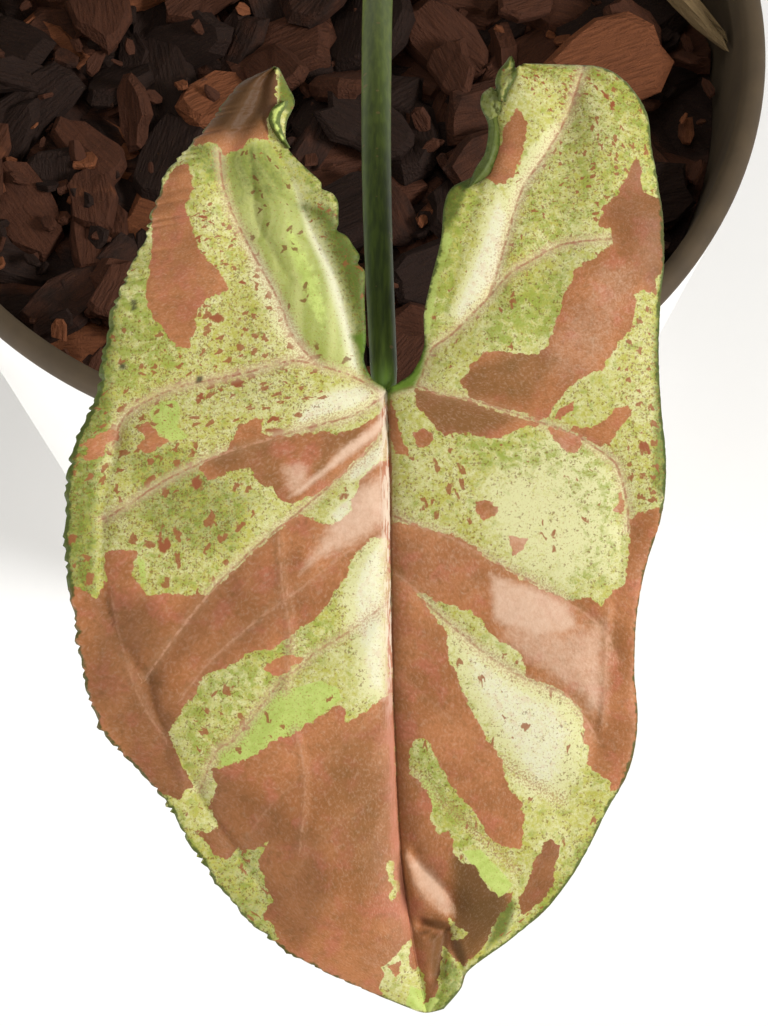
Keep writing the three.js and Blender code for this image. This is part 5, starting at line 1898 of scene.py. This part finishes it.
def turn_points(points, tilt_x, tilt_y, yaw):
    cx, sx, cy, sy, cz, sz = (f(a) for a in (tilt_x, tilt_y, yaw) for f in (math.cos, math.sin))
    about_x = np.array([(1, 0, 0), (0, cx, sx), (0, -sx, cx)])
    about_y = np.array([(cy, 0, -sy), (0, 1, 0), (sy, 0, cy)])
    about_z = np.array([(cz, sz, 0), (-sz, cz, 0), (0, 0, 1)])
    return points @ about_x @ about_y @ about_z


def keep_inside(points):
    points[:, 2] = np.minimum(points[:, 2], CHIP_CEILING)
    radius = np.hypot(points[:, 0], points[:, 1])
    room = pot_inside(points[:, 2]) - WALL_GAP
    points[:, :2] *= np.minimum(1, room / np.maximum(radius, 1e-6))[:, None]
    return points


print("a quarter turn takes X to", turn_points(np.array([(1.0, 0, 0)]), 0, 0, math.pi / 2)[0].round(3))

# %% [markdown]
# ## The finish of the bark
#
# Chips are dark where they are damp and orange where they broke lately, and all of them show
# fibres. The dark tints are partly painted shade, for the shade under the leaves. Each chip stores
# its own tint and its own place in the noise, so neighbours differ and the fibres turn with the
# chip. The highest tint is kept for the pale inner bark.

# %% Bark skin
# The dark tints are partly painted shade under the leaves
BARK_DARK_AND_SHADE = (srgb(22, 12, 7), srgb(46, 26, 16))
BARK_BROWN = (srgb(50, 26, 15), srgb(88, 50, 31))
BARK_ORANGE = (srgb(84, 46, 26), srgb(138, 82, 50))
BARK_TAN = (srgb(104, 84, 56), srgb(140, 118, 84))


def bark_skin():
    paint = Paint("bark_skin")
    place = paint.value("chip_mm", "Vector")
    tint = paint.value("tint")
    fibres = paint.noise(paint.stretch(place, (0.35, 2.2, 2.2)), 1.1, 5.0)
    blotch = paint.noise(place, 0.35, 4.0)
    dark = paint.mix(fibres, *BARK_DARK_AND_SHADE)
    brown = paint.mix(fibres, *BARK_BROWN)
    orange = paint.mix(fibres, *BARK_ORANGE)
    colour = paint.mix(paint.step(paint.sum((tint, 1.0), (blotch, 0.35)), 0.4, 0.62), dark, brown)
    colour = paint.mix(paint.step(paint.sum((tint, 1.0), (blotch, 0.25)), 0.9, 1.0), colour, orange)
    tan = paint.mix(fibres, *BARK_TAN)
    colour = paint.mix(paint.step(tint, 1.6, 1.7), colour, tan)
    height = paint.math("ADD", fibres, paint.times(paint.noise(place, 4.0, 4.0), 0.4))
    paint.bump(height, 0.0006, 0.8)
    return paint.finish(colour, 0.8, 0.25)


BARK_SKIN = bark_skin()
print("bark skin has", len(BARK_SKIN.node_tree.nodes), "nodes")

# %% [markdown]
# ## Spreading the chips
#
# A spiral with the golden angle spreads the chips evenly over the pot, in three layers, without
# rows that the eye would find. Small crumbs then fall anywhere and fill the gaps. All of them are
# gathered in one mesh later, so here they are only listed.

# %% Chips and crumbs
# Height over the mix, number of chips, shortest and longest chip in millimetres
CHIP_LAYERS = [(-3.0, 74, (13, 20)), (0.0, 62, (12, 19)), (3.0, 34, (9, 15))]
CRUMB_COUNT = 420
GOLDEN_ANGLE = math.pi * (3 - math.sqrt(5))
NOISE_REACH = 400
chips = []
reach = pot_inside(MIX_TOP) - 4
for lift, count, lengths in CHIP_LAYERS:
    for i in range(count):
        radius = reach * math.sqrt((i + 0.5) / count)
        angle = GOLDEN_ANGLE * i + lift
        shape, shape_faces = bark_chip(random.uniform(*lengths), 12, 4)
        local = shape + random.uniform(-NOISE_REACH, NOISE_REACH, 3)
        tilt = random.normal(0, 0.28, 2)
        shape = turn_points(shape, tilt[0], tilt[1], random.uniform(0, 2 * math.pi))
        place = (radius * math.cos(angle), radius * math.sin(angle), MIX_TOP + lift + random.uniform(-1, 1.5))
        tint = random.uniform(0, 1) ** 1.5
        chips.append((keep_inside(shape + place), shape_faces, tint, local))
for _ in range(CRUMB_COUNT):
    radius = (reach + 3) * math.sqrt(random.uniform(0, 1))
    angle = random.uniform(0, 2 * math.pi)
    shape, shape_faces = bark_chip(random.uniform(1.5, 4.5), 7, 3)
    local = shape + random.uniform(-NOISE_REACH, NOISE_REACH, 3)
    shape = turn_points(shape, *random.uniform(-0.8, 0.8, 2), random.uniform(0, 2 * math.pi))
    place = (radius * math.cos(angle), radius * math.sin(angle), MIX_TOP + random.uniform(0, 3.5))
    chips.append((keep_inside(shape + place), shape_faces, random.uniform(0, 1), local))
print(len(chips), "chips and crumbs")

# %% [markdown]
# ## Two chips of their own
#
# One long pale strip of inner bark lies across the chips at the right, with a freshly broken orange
# chip beside it. The photo shows both clearly, so they are placed one by one. Then all chips
# are gathered in one mesh, with the tint and the noise place of each stored on its points.

# %% Pale strip and fresh chip
STRIP_TINT = 2.0
STRIP_PLACE = (43, 18.5, MIX_TOP + 8.5)
STRIP_NOISE_SHIFT = 50
FRESH_TINT = 1.2
FRESH_PLACE = (40, 1, MIX_TOP + 5.5)
FRESH_NOISE_SHIFT = 90


def gather(chips):
    points, faces, tints, local = [], [], [], []
    count = 0
    for chip_points, chip_faces, tint, chip_local in chips:
        points.append(chip_points)
        local.append(chip_local)
        tints.append(np.full(len(chip_points), tint))
        faces.extend(tuple(index + count for index in face) for face in chip_faces)
        count += len(chip_points)
    return np.vstack(points), faces, {"tint": np.concatenate(tints), "chip_mm": np.vstack(local)}


strip, strip_faces = bark_chip(42, 18, 4)
strip *= (1, 0.16, 0.2)
strip_local = strip + STRIP_NOISE_SHIFT
strip = turn_points(strip, 0.3, 0.0, math.radians(126.6)) + STRIP_PLACE
chips.append((keep_inside(strip), strip_faces, STRIP_TINT, strip_local))
fresh, fresh_faces = bark_chip(17, 12, 4)
fresh_local = fresh + FRESH_NOISE_SHIFT
fresh = turn_points(fresh, 0.15, -0.1, math.radians(20)) + FRESH_PLACE
chips.append((keep_inside(fresh), fresh_faces, FRESH_TINT, fresh_local))
points, faces, values = gather(chips)
make_piece("bark_chips", points, faces, ["bark_mix"], [BARK_SKIN], values, smooth=False)

# %% [markdown]
# ## The bark below
#
# Between the chips one looks down on more bark. One turned body fills the pot up to just below
# the chips, and its top is roughened by seeded draws, so that no flat ground shows in the gaps.

# %% Bark body
BODY_TOP = MIX_TOP - 1.5
BODY_FLOOR = POT_FLOOR + 0.3
body_profile = [(0, BODY_FLOOR)]
body_profile += [(pot_inside(height) - WALL_GAP, height) for height in (BODY_FLOOR, 50)]
body_profile += [(pot_inside(MIX_TOP) - WALL_GAP, MIX_TOP - 2)]
body_profile += [(radius, BODY_TOP) for radius in np.linspace(50, 2, 18)] + [(0, BODY_TOP)]
points, faces = turned(body_profile, 72)
top = points[:, 2] > BODY_TOP - 0.3
points[top, 2] += random.uniform(-1.2, 1.2, top.sum())
values = {"tint": random.uniform(0, 0.5, len(points)), "chip_mm": points.copy()}
make_piece("bark_body", points, faces, ["bark_mix"], [BARK_SKIN], values, smooth=False)
